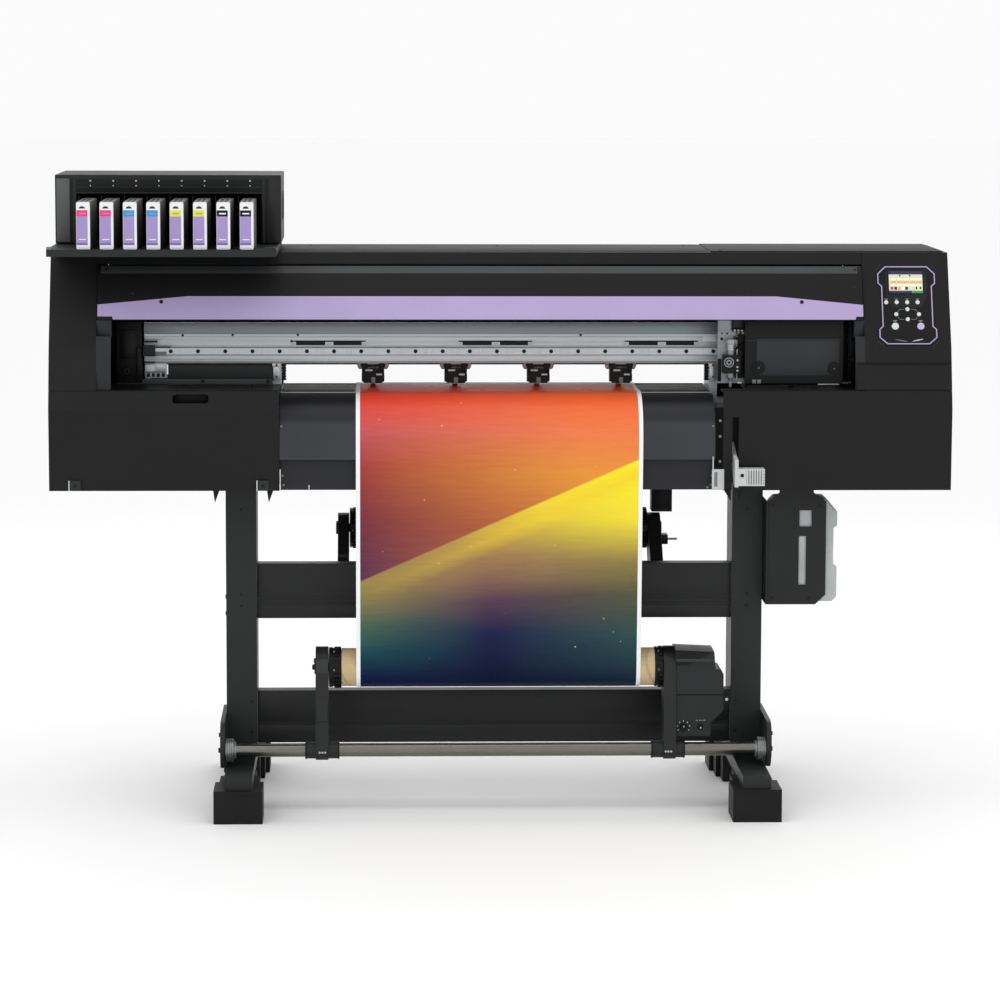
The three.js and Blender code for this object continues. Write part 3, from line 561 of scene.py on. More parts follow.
def side_covers():
    right, left, top = Box("right_side_cover"), Box("left_side_cover"), Box("top_cover")
    b = Build()
    lower = [(-217.9, 931), (-207.1, 985), (-205.8, 985), (-216.4, 931)]
    b.prism(lower, "x", right.x0 + 3, right.x1 - 1, COVER, 0.4)
    b.block((right.x0 + 2, -208.2, 986.6), (right.x1 - 0.5, -203.6, 988.4), COVER_DARK, 0.2)
    b.block((right.x1 - 1.2, -196, 931), (right.x1 - 0.1, 205, 985), COVER, 0.4)
    for y in (-150, 30, 170):
        b.screw("x", (right.x1 - 1.3, y, 1120), 3.4, BLACK_STEEL, out=1, height=1.2)
    b.done("right_side_cover_trim", STATIC, slot="cover_plastic")

    a = Build()
    for y in (-150, 30, 170):
        a.screw("x", (left.x0 + 1.3, y, 1120), 3.4, BLACK_STEEL, out=-1, height=1.2)
    for i in range(7):
        a.block((left.x0 + 0.1, 60 + i * 16, 985), (left.x0 + 1.0, 68 + i * 16, 1045), COVER_DARK, 0.3)
    a.done("left_side_cover_trim", STATIC, slot="cover_plastic")

    for name, x0, x1 in (("left", left.x1 - 32, left.x1), ("right", right.x0, right.x0 + 22)):
        j = Build()
        j.block((x0, -174, 1042), (x1, -150, 1078.6), COVER_LIGHT, 0.6)
        j.done(name + "_jamb_head", STATIC, slot="cover_plastic")

    t = Build()
    lid_left = 461.6
    t.block((lid_left, -104, top.z1 - 1), (right.x1 - 9, 206, top.z1 + 2.6), COVER_TOP, 1.6, 3)
    t.block((top.x0 + 40, -98, top.z1 - 1), (lid_left - 3, 206, top.z1 + 0.8), COVER_TOP, 0.6)
    t.screw("z", (lid_left + 22, -84, top.z1 + 2.6), 3.4, BLACK_STEEL, out=1, height=1.2)
    t.screw("z", (right.x1 - 32, -84, top.z1 + 2.6), 3.4, BLACK_STEEL, out=1, height=1.2)
    for x in (-820, -420, 0, 420):
        t.screw("z", (x, 150, top.z1 + 0.8), 3.4, BLACK_STEEL, out=1, height=1.2)
    t.done("top_cover_lids", STATIC, slot="cover_plastic")

    r = Build()
    back = top.y1
    for k in range(3):
        for i in range(14):
            x = -690 + k * 480 + i * 14
            r.block((x, back - 1.0, 1010), (x + 6, back - 0.05, 1070), COVER_DARK, 0.2)
    for x in (-860, -430, 0, 430, 780):
        for z in (965, 1205):
            r.lathe([(-0.5, 0), (-0.5, 3.6), (-0.02, 3.2), (-0.02, 1.8), (-0.4, 1.6), (-0.4, 0)], "y", (x, back, z), BLACK_STEEL, 18, 0)
    r.block((-8, back - 1.0, 975), (-5.5, back - 0.05, 1200), COVER_DARK, 0.2)
    r.done("rear_wall_details", STATIC, slot="cover_plastic")


def lower_covers():
    source = frame["nodes"]["left_lower_cover"]
    box = Box("left_lower_cover")
    bm = bmesh.new()
    bm.from_mesh(source.data)
    bmesh.ops.remove_doubles(bm, verts=bm.verts, dist=1e-5)
    mesh = bpy.data.meshes.new("left_lower_cover_shell")
    bm.to_mesh(mesh)
    bm.free()
    shell = bpy.data.objects.new("left_lower_cover_shell", mesh)
    scene.collection.objects.link(shell)
    grip_left, grip_right = box.x0 + 268, box.x0 + 346
    cutter = Build()
    cutter.block((grip_left, -240, 902), (grip_right, -205, 921), COVER, 6, 3)
    tool = cutter.done("grip_cutter", STATIC)
    boolean = shell.modifiers.new("grip", "BOOLEAN")
    boolean.operation = "DIFFERENCE"
    boolean.solver = "EXACT"
    boolean.object = tool
    bpy.context.view_layer.update()
    result = bpy.data.meshes.new_from_object(shell.evaluated_get(bpy.context.evaluated_depsgraph_get()))
    shell.modifiers.clear()
    bpy.data.objects.remove(tool)
    shell.data = result
    result.name = "left_lower_cover_shell"
    result.materials.clear()
    result.materials.append(COVER)
    for face in result.polygons:
        face.use_smooth = True
        face.material_index = 0
    result.set_sharp_from_angle(angle=math.radians(25))
    edge = shell.modifiers.new("edges", "BEVEL")
    edge.width = 0.9 * MM
    edge.segments = 2
    edge.limit_method = "ANGLE"
    edge.angle_limit = math.radians(35)
    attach(shell, STATIC)
    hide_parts("left_lower_cover")

    p = Build()
    p.block((grip_left - 4, -208, 896), (grip_right + 4, -192, 898), COVER_DARK, 0.4)
    p.block((grip_left - 4, -194, 898), (grip_right + 4, -192, 924.4), COVER_DARK, 0.4)
    p.block((grip_left - 4, -212, 898), (grip_left - 2, -194, 924.4), COVER_DARK, 0.4)
    p.block((grip_right + 2, -212, 898), (grip_right + 4, -194, 924.4), COVER_DARK, 0.4)
    p.done("left_grip_pocket", STATIC, slot="cover_plastic")

    d = Build()
    right = Box("right_lower_cover")
    deck = box.z1
    for x in (-867.7, -704, -540.5, 640, 861):
        d.lathe([(-0.2, 0), (-0.2, 7.4), (0.4, 7.0), (0.4, 0)], "z", (x, -113, deck), COVER_DARK, 24, 0)
        d.lathe([(0.3, 0), (0.3, 5.4), (2.6, 4.6), (2.6, 2.2), (1.2, 2.0), (1.2, 0)], "z", (x, -113, deck), NYLON, 20, 0)
    d.block((box.x0 + 2, -214, deck), (box.x1 - 3, -209, deck + 1.6), COVER, 0.7)
    d.block((right.x0 + 4, -214, deck), (right.x1 - 2, -209, deck + 1.6), COVER, 0.7)
    d.done("deck_fasteners", STATIC, slot="cover_plastic")

    f = Build()
    for x0, x1 in ((-938, -914), (-531, -507)):
        f.block((x0, -227.4, 712), (x1, -222.6, 734), COVER_LIGHT, 0.8)
        # light grey strip along the bracket's left edge: painted highlight
        f.block((x0 - 2.4, -227.0, 711.4), (x0, -222.6, 734), GREY, 0.4)
        f.screw("y", ((x0 + x1) / 2, -227.4, 722), 3.6, BLACK_STEEL, height=1.6)
    for x in (-621, -504, 520):
        f.prism([(x - 7, 711), (x + 7, 711), (x - 3, 684)], "y", -214, -211, COVER_DARK, 0.3)
    f.block((458, -228.6, 712.6), (484.6, -225.8, 758), GREY, 0.8)
    f.prism([(484.6, 712), (498, 690), (500, 690), (500, 712)], "y", -226, -224, COVER_DARK, 0.3)
    # light grey line up the plate's left edge: painted highlight
    f.block((459, -230.0, 758), (461.4, -226.4, 786), GREY, 0.4)
    f.block((463, -229.0, 720), (470, -228.4, 752), MID_GREY, 0.2)
    for z in (745, 775, 830, 864):
        f.screw("y", (475, -227, z), 3.2, MID_GREY, height=1.0)
    f.done("lower_brackets", STATIC, slot="cover_plastic")

    g = Build()
    apron = Box("front_apron")
    for x, z in ((-480, 742), (-478, 722), (457, 742), (455, 722), (447, 716)):
        g.screw("y", (x + 3, -206, z), 2.8, MID_GREY, height=1.0)
    for x in (apron.x0 + 4, apron.x1 - 5):
        g.screw("y", (x, -222.6, 852), 2.4, MID_GREY, height=0.8)
    # light grey strip on the bay's left edge: painted highlight
    g.block((apron.x0, -228.2, 714), (apron.x0 + 2.2, -205, 758), GREY, 0.4)
    g.block((-421, -207.2, 712), (-418.4, -206, 722), GREY, 0.3)
    g.done("apron_fasteners", STATIC, slot="apron_steel")

    e = Build()
    platen = Box("platen")
    z = platen.z1
    for x0, x1 in ((platen.x0 - 1, platen.x0 + 1.6), (platen.x1 - 1.6, platen.x1 + 1)):
        e.block((x0, -131.5, z - 7), (x1, 60, z + 0.6), STEEL, 0.4)
    for x0, x1 in ((platen.x0 + 2, -321), (311, platen.x1 - 2)):
        e.block((x0, -44, z - 0.2), (x1, 60, z + 0.25), PLATEN, 0.1)
        e.block((x0, -129.5, z - 0.2), (x1, -46, z + 0.25), APRON, 0.1)
        e.block((x0, -131.6, z - 9), (x1, -129.4, z + 0.4), PLATEN, 0.5)
    e.done("platen_strips", STATIC, slot="platen_aluminium")


# ---- control panel ----
def control_panel():
    tilt = math.atan2(-112 + 196, 1224 - 1020)
    place = Matrix.Translation((889, -112, 1224)) @ Matrix.Rotation(-tilt, 4, "X")
    panel_face = -1.5
    outline = [(47, 31), (65, 49), (65, 73), (57.5, 80), (57.5, 170), (65, 177), (65, 198), (47, 214)]
    whole = outline + [(-u, v) for u, v in outline[::-1]]

    def inset(points, distance):
        moved = []
        for i, (u, v) in enumerate(points):
            before, after = Vector(points[i - 1]), Vector(points[(i + 1) % len(points)])
            here = Vector((u, v))
            a, c = (here - before).normalized(), (after - here).normalized()
            normal = Vector((-a.y - c.y, a.x + c.x)).normalized()
            reach = distance / max(0.3, -a.y * normal.x + a.x * normal.y)
            moved.append((u + normal.x * reach, v + normal.y * reach))
        return moved

    def ring(build, outer, inner, top, finish):
        for i in range(len(outer)):
            j = (i + 1) % len(outer)
            quad = [outer[i], outer[j], inner[j], inner[i]]
            build.prism([(u, -v) for u, v in quad], "y", top, panel_face, finish, 0)

    b = Build(place)
    ring(b, inset(whole, 1.6), inset(whole, 4.0), panel_face - 0.5, VIOLET)
    shield = [(-45, 40), (45, 40), (45, 98), (33, 127), (-33, 127), (-45, 98)]
    b.prism([(u, -v) for u, v in shield], "y", panel_face - 0.12, panel_face, PANEL_EDGE, 0.05)
    b.block((-41, panel_face - 1.4, -97), (38, panel_face, -42), COVER_DARK, 0.5)
    b.done("panel_outline", STATIC, slot="panel_plastic")

    s = Build(place)
    top = panel_face - 1.4
    s.block((-38.5, top - 0.25, -95), (35.5, top, -44.5), SCREEN, 0.1)
    s.block((-38.5, top - 0.35, -52), (35.5, top - 0.2, -44.5), SCREEN_HEAD, 0)
    for row, z in enumerate((-60.5, -67.5, -74.5)):
        for k in range(5):
            x = -35 + k * 14.2
            finish = (SCREEN_PALE, SCREEN_WARM, SCREEN_PALE)[row]
            s.block((x, top - 0.35, z - 4.6), (x + 12.4, top - 0.2, z), finish, 0)
    for x in (-14, 8):
        s.lathe([(0, 0), (0, 1.9), (-0.4, 1.9), (-0.4, 0)], "y", (x, top - 0.1, -54.8), COVER_DARK, 16, 0)
    for k, finish in enumerate((SCREEN_RED, SCREEN_HEAD, SCREEN_WARM, SCREEN_PALE, SCREEN_HEAD)):
        s.block((-35 + k * 8, top - 0.35, -87.5), (-29 + k * 8, top - 0.2, -80.5), finish, 0)
    for x in (20, 29):
        s.block((x, top - 0.35, -86), (x + 3, top - 0.2, -80.5), COVER_DARK, 0)
    s.block((-38.5, top - 0.35, -95), (12, top - 0.2, -89.5), SCREEN_HEAD, 0)
    s.block((12.4, top - 0.35, -95), (35.5, top - 0.2, -89.5), SCREEN_GREEN, 0)
    s.done("panel_screen", STATIC, slot="panel_plastic")

    g = Build(place)
    for u in (-46, -23, 0, 23):
        for k, width in enumerate((7.5, 5.0)):
            g.block((u - width / 2, panel_face - 0.16, -108.4 - k * 2.0), (u + width / 2, panel_face, -107.4 - k * 2.0), LEGEND, 0)
    for u in (-28, 28):
        for k, width in enumerate((9, 6)):
            g.block((u - width / 2, panel_face - 0.16, -158.2 - k * 2.2), (u + width / 2, panel_face, -157.0 - k * 2.2), LEGEND, 0)
    for a, c in (((-21.5, 138.5), (-8, 132)), ((21.5, 138.5), (8, 132)), ((-21.5, 149), (-8, 155)), ((21.5, 149), (8, 155))):
        mid = (c[0] + (a[0] - c[0]) * 0.72, c[1])
        for p, q in ((a, mid), (mid, c)):
            line = Vector((q[0] - p[0], q[1] - p[1]))
            side = Vector((-line.y, line.x)).normalized() * 0.35
            quad = [(p[0] + side.x, p[1] + side.y), (q[0] + side.x, q[1] + side.y),
                    (q[0] - side.x, q[1] - side.y), (p[0] - side.x, p[1] - side.y)]
            g.prism([(u, -v) for u, v in quad], "y", panel_face - 0.16, panel_face, LEGEND, 0)
    for low, high, finish in ((-30, -2, MID_GREY), (8, 34, KEY_WHITE)):
        bow = [(u, 206 + 0.005 * u * u * -1) for u in range(low, high + 1, 4)]
        back = [(u, v - 0.5 - 1.6 * math.sin(math.pi * (u - low) / (high - low))) for u, v in bow][::-1]
        g.prism([(u, -v) for u, v in bow + back], "y", panel_face - 0.16, panel_face, finish, 0)
    g.done("panel_legends", STATIC, slot="panel_plastic")

    c = Build(place)
    for corner in (-1, 1):
        c.prism([(corner * 52, -27), (corner * 67, -42), (corner * 69, -41), (corner * 53, -25)], "y", -0.9, 0.4, COVER_LIGHT, 0.3)
        c.prism([(corner * 67, -203), (corner * 52, -218), (corner * 53, -220), (corner * 69, -205)], "y", -0.9, 0.4, COVER_LIGHT, 0.3)
    c.done("panel_surround", STATIC, slot="cover_plastic")


def emissive(name, code, strength=0.22):
    g = Graph(name)
    colour = rgb(code)
    tone = g.ramp(g.noise(300, detail=2), [(0.3, shade(colour, 0.92)), (0.7, shade(colour, 1.06))])
    return g.set(Base_Color=tone, Roughness=0.22, Emission_Color=colour, Emission_Strength=strength)


SCREEN = emissive("screen_pale", "#c9c6a6")
SCREEN_HEAD = emissive("screen_navy", "#1c2350", 0.1)
SCREEN_PALE = emissive("screen_cell", "#dfe0cd")
SCREEN_WARM = emissive("screen_orange", "#d89a5e")
SCREEN_RED = emissive("screen_red", "#b0443a", 0.15)
SCREEN_GREEN = emissive("screen_green", "#2f8a4e", 0.15)
PANEL_EDGE = moulded("fascia_field", rgb("#1c1e20"), 0.35, 1400, 0.00003)
LEGEND = moulded("legend_ink", rgb("#8f9290"), 0.5, 1400, 0.00001, 0.03)


# ---- carriage system ----
def bar_details():
    bar = Box("y_bar")
    face = -42.0
    left, right = bar.x0 + 1, bar.x1 - 1
    b = Build()
    for low, high, finish in ((1038.5, 1063.5, BAR_DARK), (1024.6, 1033.6, BAR), (1011.2, 1021.6, BAR),
                              (980.8, 992.0, BAR), (975.0, 979.2, BAR_DARK)):
        b.block((left, face - 1.0, low), (right, face + 0.4, high), finish, 0.35)
    b.done("bar_front_strips", STATIC, slot="bar_aluminium")

    r = Build()
    for i in range(24):
        x = -726 + 60 * i
        r.lathe([(0.1, 0), (0.1, 4.6), (-0.25, 4.2), (-0.25, 0)], "y", (x, -54, 1001.6), NYLON, 18, 0)
        r.block((x + 18, -54.12, 996), (x + 40, -53.9, 1007), RAIL, 0)
    r.done("rail_screws", STATIC, slot="bar_aluminium")

    s = Build()
    for x in (-450.3, -81.8, 286.8):
        for shift, width in ((0, 64.7), (82.6, 62.6)):
            s.block((x + shift, face - 1.15, 1014.2), (x + shift + width, face - 0.7, 1023.0), NYLON, 0.1)
        s.block((x - 9, face - 1.2, 1021.8), (x + 154, face - 0.7, 1024.4), NYLON, 0.1)
        for at in (x - 8, x + 73, x + 152):
            s.block((at - 5, face - 1.25, 1014), (at + 5, face - 0.7, 1019), GREY, 0.2)
    for x, z in ((-590, 1037), (-446, 1037), (-460, 1023), (180, 1037), (-700, 1036)):
        s.screw("y", (x, face - 1.0, z), 2.8, NYLON, height=0.25)
    s.block((451, face - 1.28, 1024), (481, face - 0.7, 1034), WHITE, 0.2)
    s.done("bar_sensors", STATIC, slot="bar_aluminium")

    p = Build()
    p.block((-733, -40, 935), (-501, -36, 973.6), ARM, 0.8)
    p.block((-733, -41, 969.5), (-501, -36, 973.6), COVER_DARK, 0.4)
    # ledge painted lighter: painted highlight
    p.block((-846, -53, 928.4), (-503, -45.5, 940), PAINTED_LIGHT_STRIP, 0.8)
    for x in (-829, -656, -512):
        p.lathe([(0.2, 0), (0.2, 4.4), (-0.4, 4.2), (-0.4, 0)], "y", (x, -53, 935), NYLON, 20, 0)
    p.block((-787.5, -58, 991), (-760, -54.2, 1015), COVER_LIGHT, 0.8)
    p.block((-787.5, -56, 1021), (-756, -43, 1024), NYLON, 0.4)
    p.block((-787.5, -56, 976), (-762, -43, 978.5), NYLON, 0.4)
    p.block((-760, -54.6, 1009), (-726, -53.8, 1011.5), NYLON, 0.2)
    p.block((-760, -54.4, 993.4), (-735, -53.8, 1001), MID_GREY, 0.2)
    for x0, x1 in ((-500.6, -486), (467, 482)):
        p.block((x0, -44, 936.5), (x1, -31, 973.6), STEEL, 0.8)
        p.block((x0 - 2, -45, 966), (x1 + 2, -43, 973.6), STEEL, 0.6)
        p.screw("y", ((x0 + x1) / 2, -45, 970), 2.6, BLACK_STEEL, height=0.9)
        p.screw("y", ((x0 + x1) / 2, -44, 944), 2.2, BLACK_STEEL, height=0.7)
    for x0 in (-483, 455):
        for k in range(6):
            p.block((x0, -43, 936.5 + 6.1 * k), (x0 + 11, -33, 941.2 + 6.1 * k), NYLON, 1.2)
        p.block((x0 + 2, -40, 936), (x0 + 9, -34, 973.6), NYLON, 0.5)
    p.block((-784, -41, 941), (-735, -31, 973.6), BAR, 0.8)
    for k in range(4):
        p.block((-780 + 11 * k, -42.2, 944), (-773 + 11 * k, -40.8, 952), NYLON, 0.5)
    p.block((-783, -43.2, 953), (-738, -41, 956), MID_GREY, 0.4)
    p.block((-760, -46, 957), (-738, -41, 972), BAR, 0.8)
    p.done("bar_end_parts", STATIC, slot="bar_aluminium")

    e = Build()
    e.block((-847, -56, 932), (-789, 92, 1068), COVER_DARK, 2.5, 3)
    e.block((-878, 60, 931), (-846, 63, 1075), NYLON, 0.5)
    e.block((-800, -66, 938), (-790, -52, 1010), NYLON, 1.2)
    e.lathe([(0, 0), (0, 9), (-4, 8), (-4, 3), (0, 3), (0, 0)], "y", (-822, -56, 958), NYLON, 24, 0.3)
    e.block((-836, -58.4, 985), (-802, -55.8, 1050), NYLON, 0.8)
    e.done("left_end_housing", STATIC, slot="carriage_plastic")

    h = Build()
    h.block((789, -56, 945), (791.5, 60, 1068), COVER_DARK, 0.5)
    h.block((762, -30, 931), (786, 60, 972), COVER_DARK, 1.5)
    h.block((757, -60, 938), (771, -56.5, 1074), NYLON, 0.8)
    h.block((772, -70, 938), (789, -56.5, 1074), NYLON, 0.8)
    h.block((774, -72, 1000), (788, -69.5, 1026), COVER_LIGHT, 0.8)
    h.lathe([(0.3, 0), (0.3, 6), (-3, 5), (-3, 0)], "y", (780, -70, 985), COVER_LIGHT, 20, 0.5)
    h.done("right_end_wall", STATIC, slot="carriage_plastic")


def pinch_details():
    for i in range(1, 5):
        box = Box(f"pinch_arm_{i}")
        x, y, z = box.x, 10, 964
        b = Build()
        for side in (-1, 1):
            b.lathe([(side * 24.5, 0), (side * 24.5, 6.4), (side * 26.4, 8.2), (side * 30.5, 8.2), (side * 33.5, 5.4),
                     (side * 33.5, 0)], "x", (x, y - 3, z + 1), GREY, 26, 0.5)
            b.lathe([(side * 33.4, 0), (side * 33.4, 3), (side * 35, 2.6), (side * 35, 0)], "x", (x, y - 3, z + 1), STEEL, 16, 0.2)
        b.prism([(x - 23, z - 14), (x - 25.4, z - 18), (x - 25.4, z - 31), (x - 19, z - 37), (x + 19, z - 37),
                 (x + 25.4, z - 31), (x + 25.4, z - 18), (x + 23, z - 14)], "y", y - 17.4, y - 14.2, NYLON, 0.9)
        b.block((x - 27, y - 17.2, z - 1), (x + 27, y - 14.6, z + 5.5), NYLON, 0.7)
        for side in (-1, 1):
            middle = x + side * 19.5
            b.block((middle - 5.5, y - 18.6, z - 12), (middle + 5.5, y - 14.6, z + 9.6), NYLON, 1.0)
        b.block((x - 12, y - 18.0, z + 5), (x + 12, y - 16.4, z + 9.8), GREY, 0.5)
        b.block((x - 17, y - 18.8, z - 10.5), (x - 1, y - 15.8, z - 6.4), GREY, 0.5)
        b.block((x + 7, y - 18.2, z - 19.5), (x + 20, y - 16.2, z - 16.0), GREY, 0.4)
        b.block((x - 4, y - 18.6, z - 37), (x + 5, y - 16.0, z - 24), MID_GREY, 0.6)
        coil = [(x - 12 + 24 * k / 120, y - 14.4 + 3.0 * math.cos(k * 0.62), z - 2 + 3.0 * math.sin(k * 0.62)) for k in range(121)]
        b.tube(coil, 0.55, STEEL, 6)
        b.done(f"pinch_arm_{i}_fittings", f"pinch_arm_{i}", slot="pinch_plastic")


def carriage_details():
    box = Box("print_carriage")
    face = -140
    b = Build()
    for x, z in ((566, 972.3), (732.4, 970.5)):
        for radius, depth in ((15.5, 2.2), (12.4, 3.6), (8.8, 4.8), (5.4, 6.2)):
            b.lathe([(0.4, 0), (0.4, radius), (-depth, radius * 0.95), (-depth, 0)], "y", (x, face, z), NYLON, 40, 0.5)
        b.lathe([(0, 0), (-6.2, 0), (-6.2, 1.8), (-6.9, 1.4), (-6.9, 0)], "y", (x, face, z), MID_GREY, 14, 0)
    b.block((550, face - 3.2, 935.5), (574, face + 0.4, 949), NYLON, 0.9)
    for k in range(2):
        b.block((552 + 11 * k, face - 4.0, 938), (560.5 + 11 * k, face - 3.0, 946.5), MID_GREY, 0.5)
    b.block((540, face - 1.6, 1031), (749, face + 0.4, 1034), COVER_LIGHT, 0.6)
    b.block((697, face - 1.5, 935.2), (744, face + 0.4, 937), GREY, 0.4)
    b.done("carriage_fittings", "print_carriage", slot="carriage_plastic")

    cover = Build()
    upper = [(-140.9, 1038), (-140.9, 1074), (-112.6, 1179.6), (-111.4, 1179.3), (-139.4, 1074), (-139.4, 1038)]
    cover.prism(upper, "x", box.x1 - 210, box.x1 - 6, CARRIAGE, 0.5)
    # lower face painted lighter than the upper slope of the same cover: painted light
    cover.block((box.x1 - 190, -141.2, 955), (box.x1 - 8, -139.4, 1036), CARRIAGE_FACE_PAINTED_LIGHT, 0.5)
    cover.done("carriage_cover", "print_carriage", slot="carriage_plastic")

    c = Build()
    plate = -112
    for x, z, radius in ((487.2, 1033.6, 3.6), (518.9, 1034.9, 4.4), (503.2, 1019.9, 4.0), (499.2, 1045.6, 2.2), (487.2, 1045.6, 2.0),
                         (520, 1046, 2.0), (529, 1046, 2.0)):
        c.lathe([(0.2, 0), (0.2, radius), (-0.5, radius * 0.95), (-0.5, 0)], "y", (x, plate, z), NYLON, 18, 0)
    c.block((479, plate - 1.6, 1052), (506, plate + 0.3, 1178), PLATE, 0.8)
    c.block((508, plate - 3.0, 1052), (536, plate + 0.3, 1176), NYLON, 0.8)
    c.block((511, plate - 7.0, 1049), (537, plate - 2.5, 1056), BLACK_STEEL, 0.6)
    c.block((512, plate - 4.2, 1060), (534, plate - 2.6, 1100), COVER_LIGHT, 0.6)
    for at in (515, 523, 531):
        c.screw("y", (at, plate - 7.0, 1052.5), 2.4, GREY, height=0.8)
    c.block((509, plate - 4.5, 1006), (537, plate + 0.3, 1014), NYLON, 0.8)
    c.block((522, plate - 2.5, 1012), (537, plate + 0.3, 1044), COVER_DARK, 0.8)
    c.tube([(513, plate - 3, 1002), (515, plate - 9, 1012), (523, plate - 10, 1020), (532, plate - 5, 1024), (534, plate - 1, 1040)], 1.4, NYLON, 8)
    c.tube([(511, plate - 3, 1030), (514, plate - 8, 1040), (524, plate - 9, 1044), (530, plate - 3, 1048)], 1.0, NYLON, 8)
    c.block((516, plate - 9, 948), (535, plate + 0.3, 1010), NYLON, 1.2)
    for k in range(7):
        c.lathe([(0, 0), (0, 6.6), (2.6, 6.6), (2.6, 0)], "z", (529, plate - 9.5, 950 + 7.4 * k), NYLON, 20, 0.5)
    c.tube([(520, plate - 11, 946), (520, plate - 12, 1012)], 1.1, GREY, 8)
    c.block((478, plate - 2, 940), (486.5, plate + 0.3, 990), NYLON, 0.6)
    # pale strip glowing with the screen finish: painted highlight on the edge of the cutter plate
    c.block((536.4, plate - 4, 982), (540, plate + 0.3, 1008), SCREEN_PALE, 0.4)
    c.block((522, plate - 12, 936.4), (531, plate - 3, 939), WHITE, 0.5)
    for radius, depth, finish in ((11.5, 1.4, PLATE), (9.2, 2.2, BLACK_STEEL), (6.4, 3.0, PLATE), (3.0, 4.0, NYLON)):
        c.lathe([(0.3, 0), (0.3, radius), (-depth, radius * 0.94), (-depth, 0)], "y", (501, -140, 984), finish, 32, 0.3)
    c.block((514, -141.6, 962), (525, -139.6, 998), NYLON, 0.5)
    for z in (966, 974, 989):
        c.screw("y", (519.5, -141.6, z), 2.2, STEEL, height=0.8)
    c.block((489.5, -141.2, 961.5), (511, -139.7, 968), BLACK_STEEL, 0.4)
    c.done("cutter_fittings", "print_carriage", slot="carriage_plastic")

    pen = Box("cutter_pen")
    p = Build()
    for z, radius in ((1010.4, 9.6), (1014.6, 9.6), (1018.8, 9.6)):
        p.lathe([(0, 8.1), (0, radius), (2.6, radius), (2.6, 8.1), (0, 8.1)], "z", (pen.x, pen.y, z), STEEL, 36, 0.5)
    for k in range(18):
        angle = 2 * math.pi * k / 18
        p.block((pen.x + 10.6 * math.cos(angle) - 0.5, pen.y + 10.6 * math.sin(angle) - 0.5, 1023.5),
                (pen.x + 10.6 * math.cos(angle) + 0.5, pen.y + 10.6 * math.sin(angle) + 0.5, 1033), STEEL, 0.2)
    p.done("pen_rings", "cutter_pen", slot="pen_steel")


def lever_details():
    box = Box("clamp_lever")
    b = Build()
    for k in range(7):
        x = 531 + 5.4 * k
        b.block((x, box.y0 - 1.4, 727.5), (x + 3.0, box.y0 + 0.3, 759.5), GREY, 0.5)
    # mid grey strips behind the ribs, seen between them: painted shade in the grooves
    for k in range(5):
        b.block((530, box.y0 - 0.8, 730 + 6.6 * k), (568, box.y0 + 0.2, 732 + 6.6 * k), MID_GREY, 0.2)
    # mid grey strips in the gaps between the ribs: painted shade
    for k in range(6):
        x = 534.2 + 5.4 * k
        b.block((x, box.y0 - 0.6, 729), (x + 2.0, box.y0 + 0.3, 758), MID_GREY, 0.2)
    b.lathe([(0, 4.2), (0, 6.4), (-1.2, 6.0), (-1.2, 4.2), (0, 4.2)], "y", (520.5, box.y0, 748), GREY, 28, 0.2)
    b.lathe([(0.1, 0), (0.1, 4.3), (-0.3, 4.2), (-0.3, 0)], "y", (520.5, box.y0, 748), NYLON, 24, 0)
    b.done("lever_ribs", "clamp_lever", slot="lever_plastic")


# ---- ink unit ----
INKS = ("#e8376f", "#e8376f", "#2e93cc", "#2e93cc", "#dbdd2c", "#dbdd2c", "#121213", "#121213")


def label(name, code, rough=0.34):
    return moulded(name, rgb(code), rough, 1500, 0.00001, 0.04)


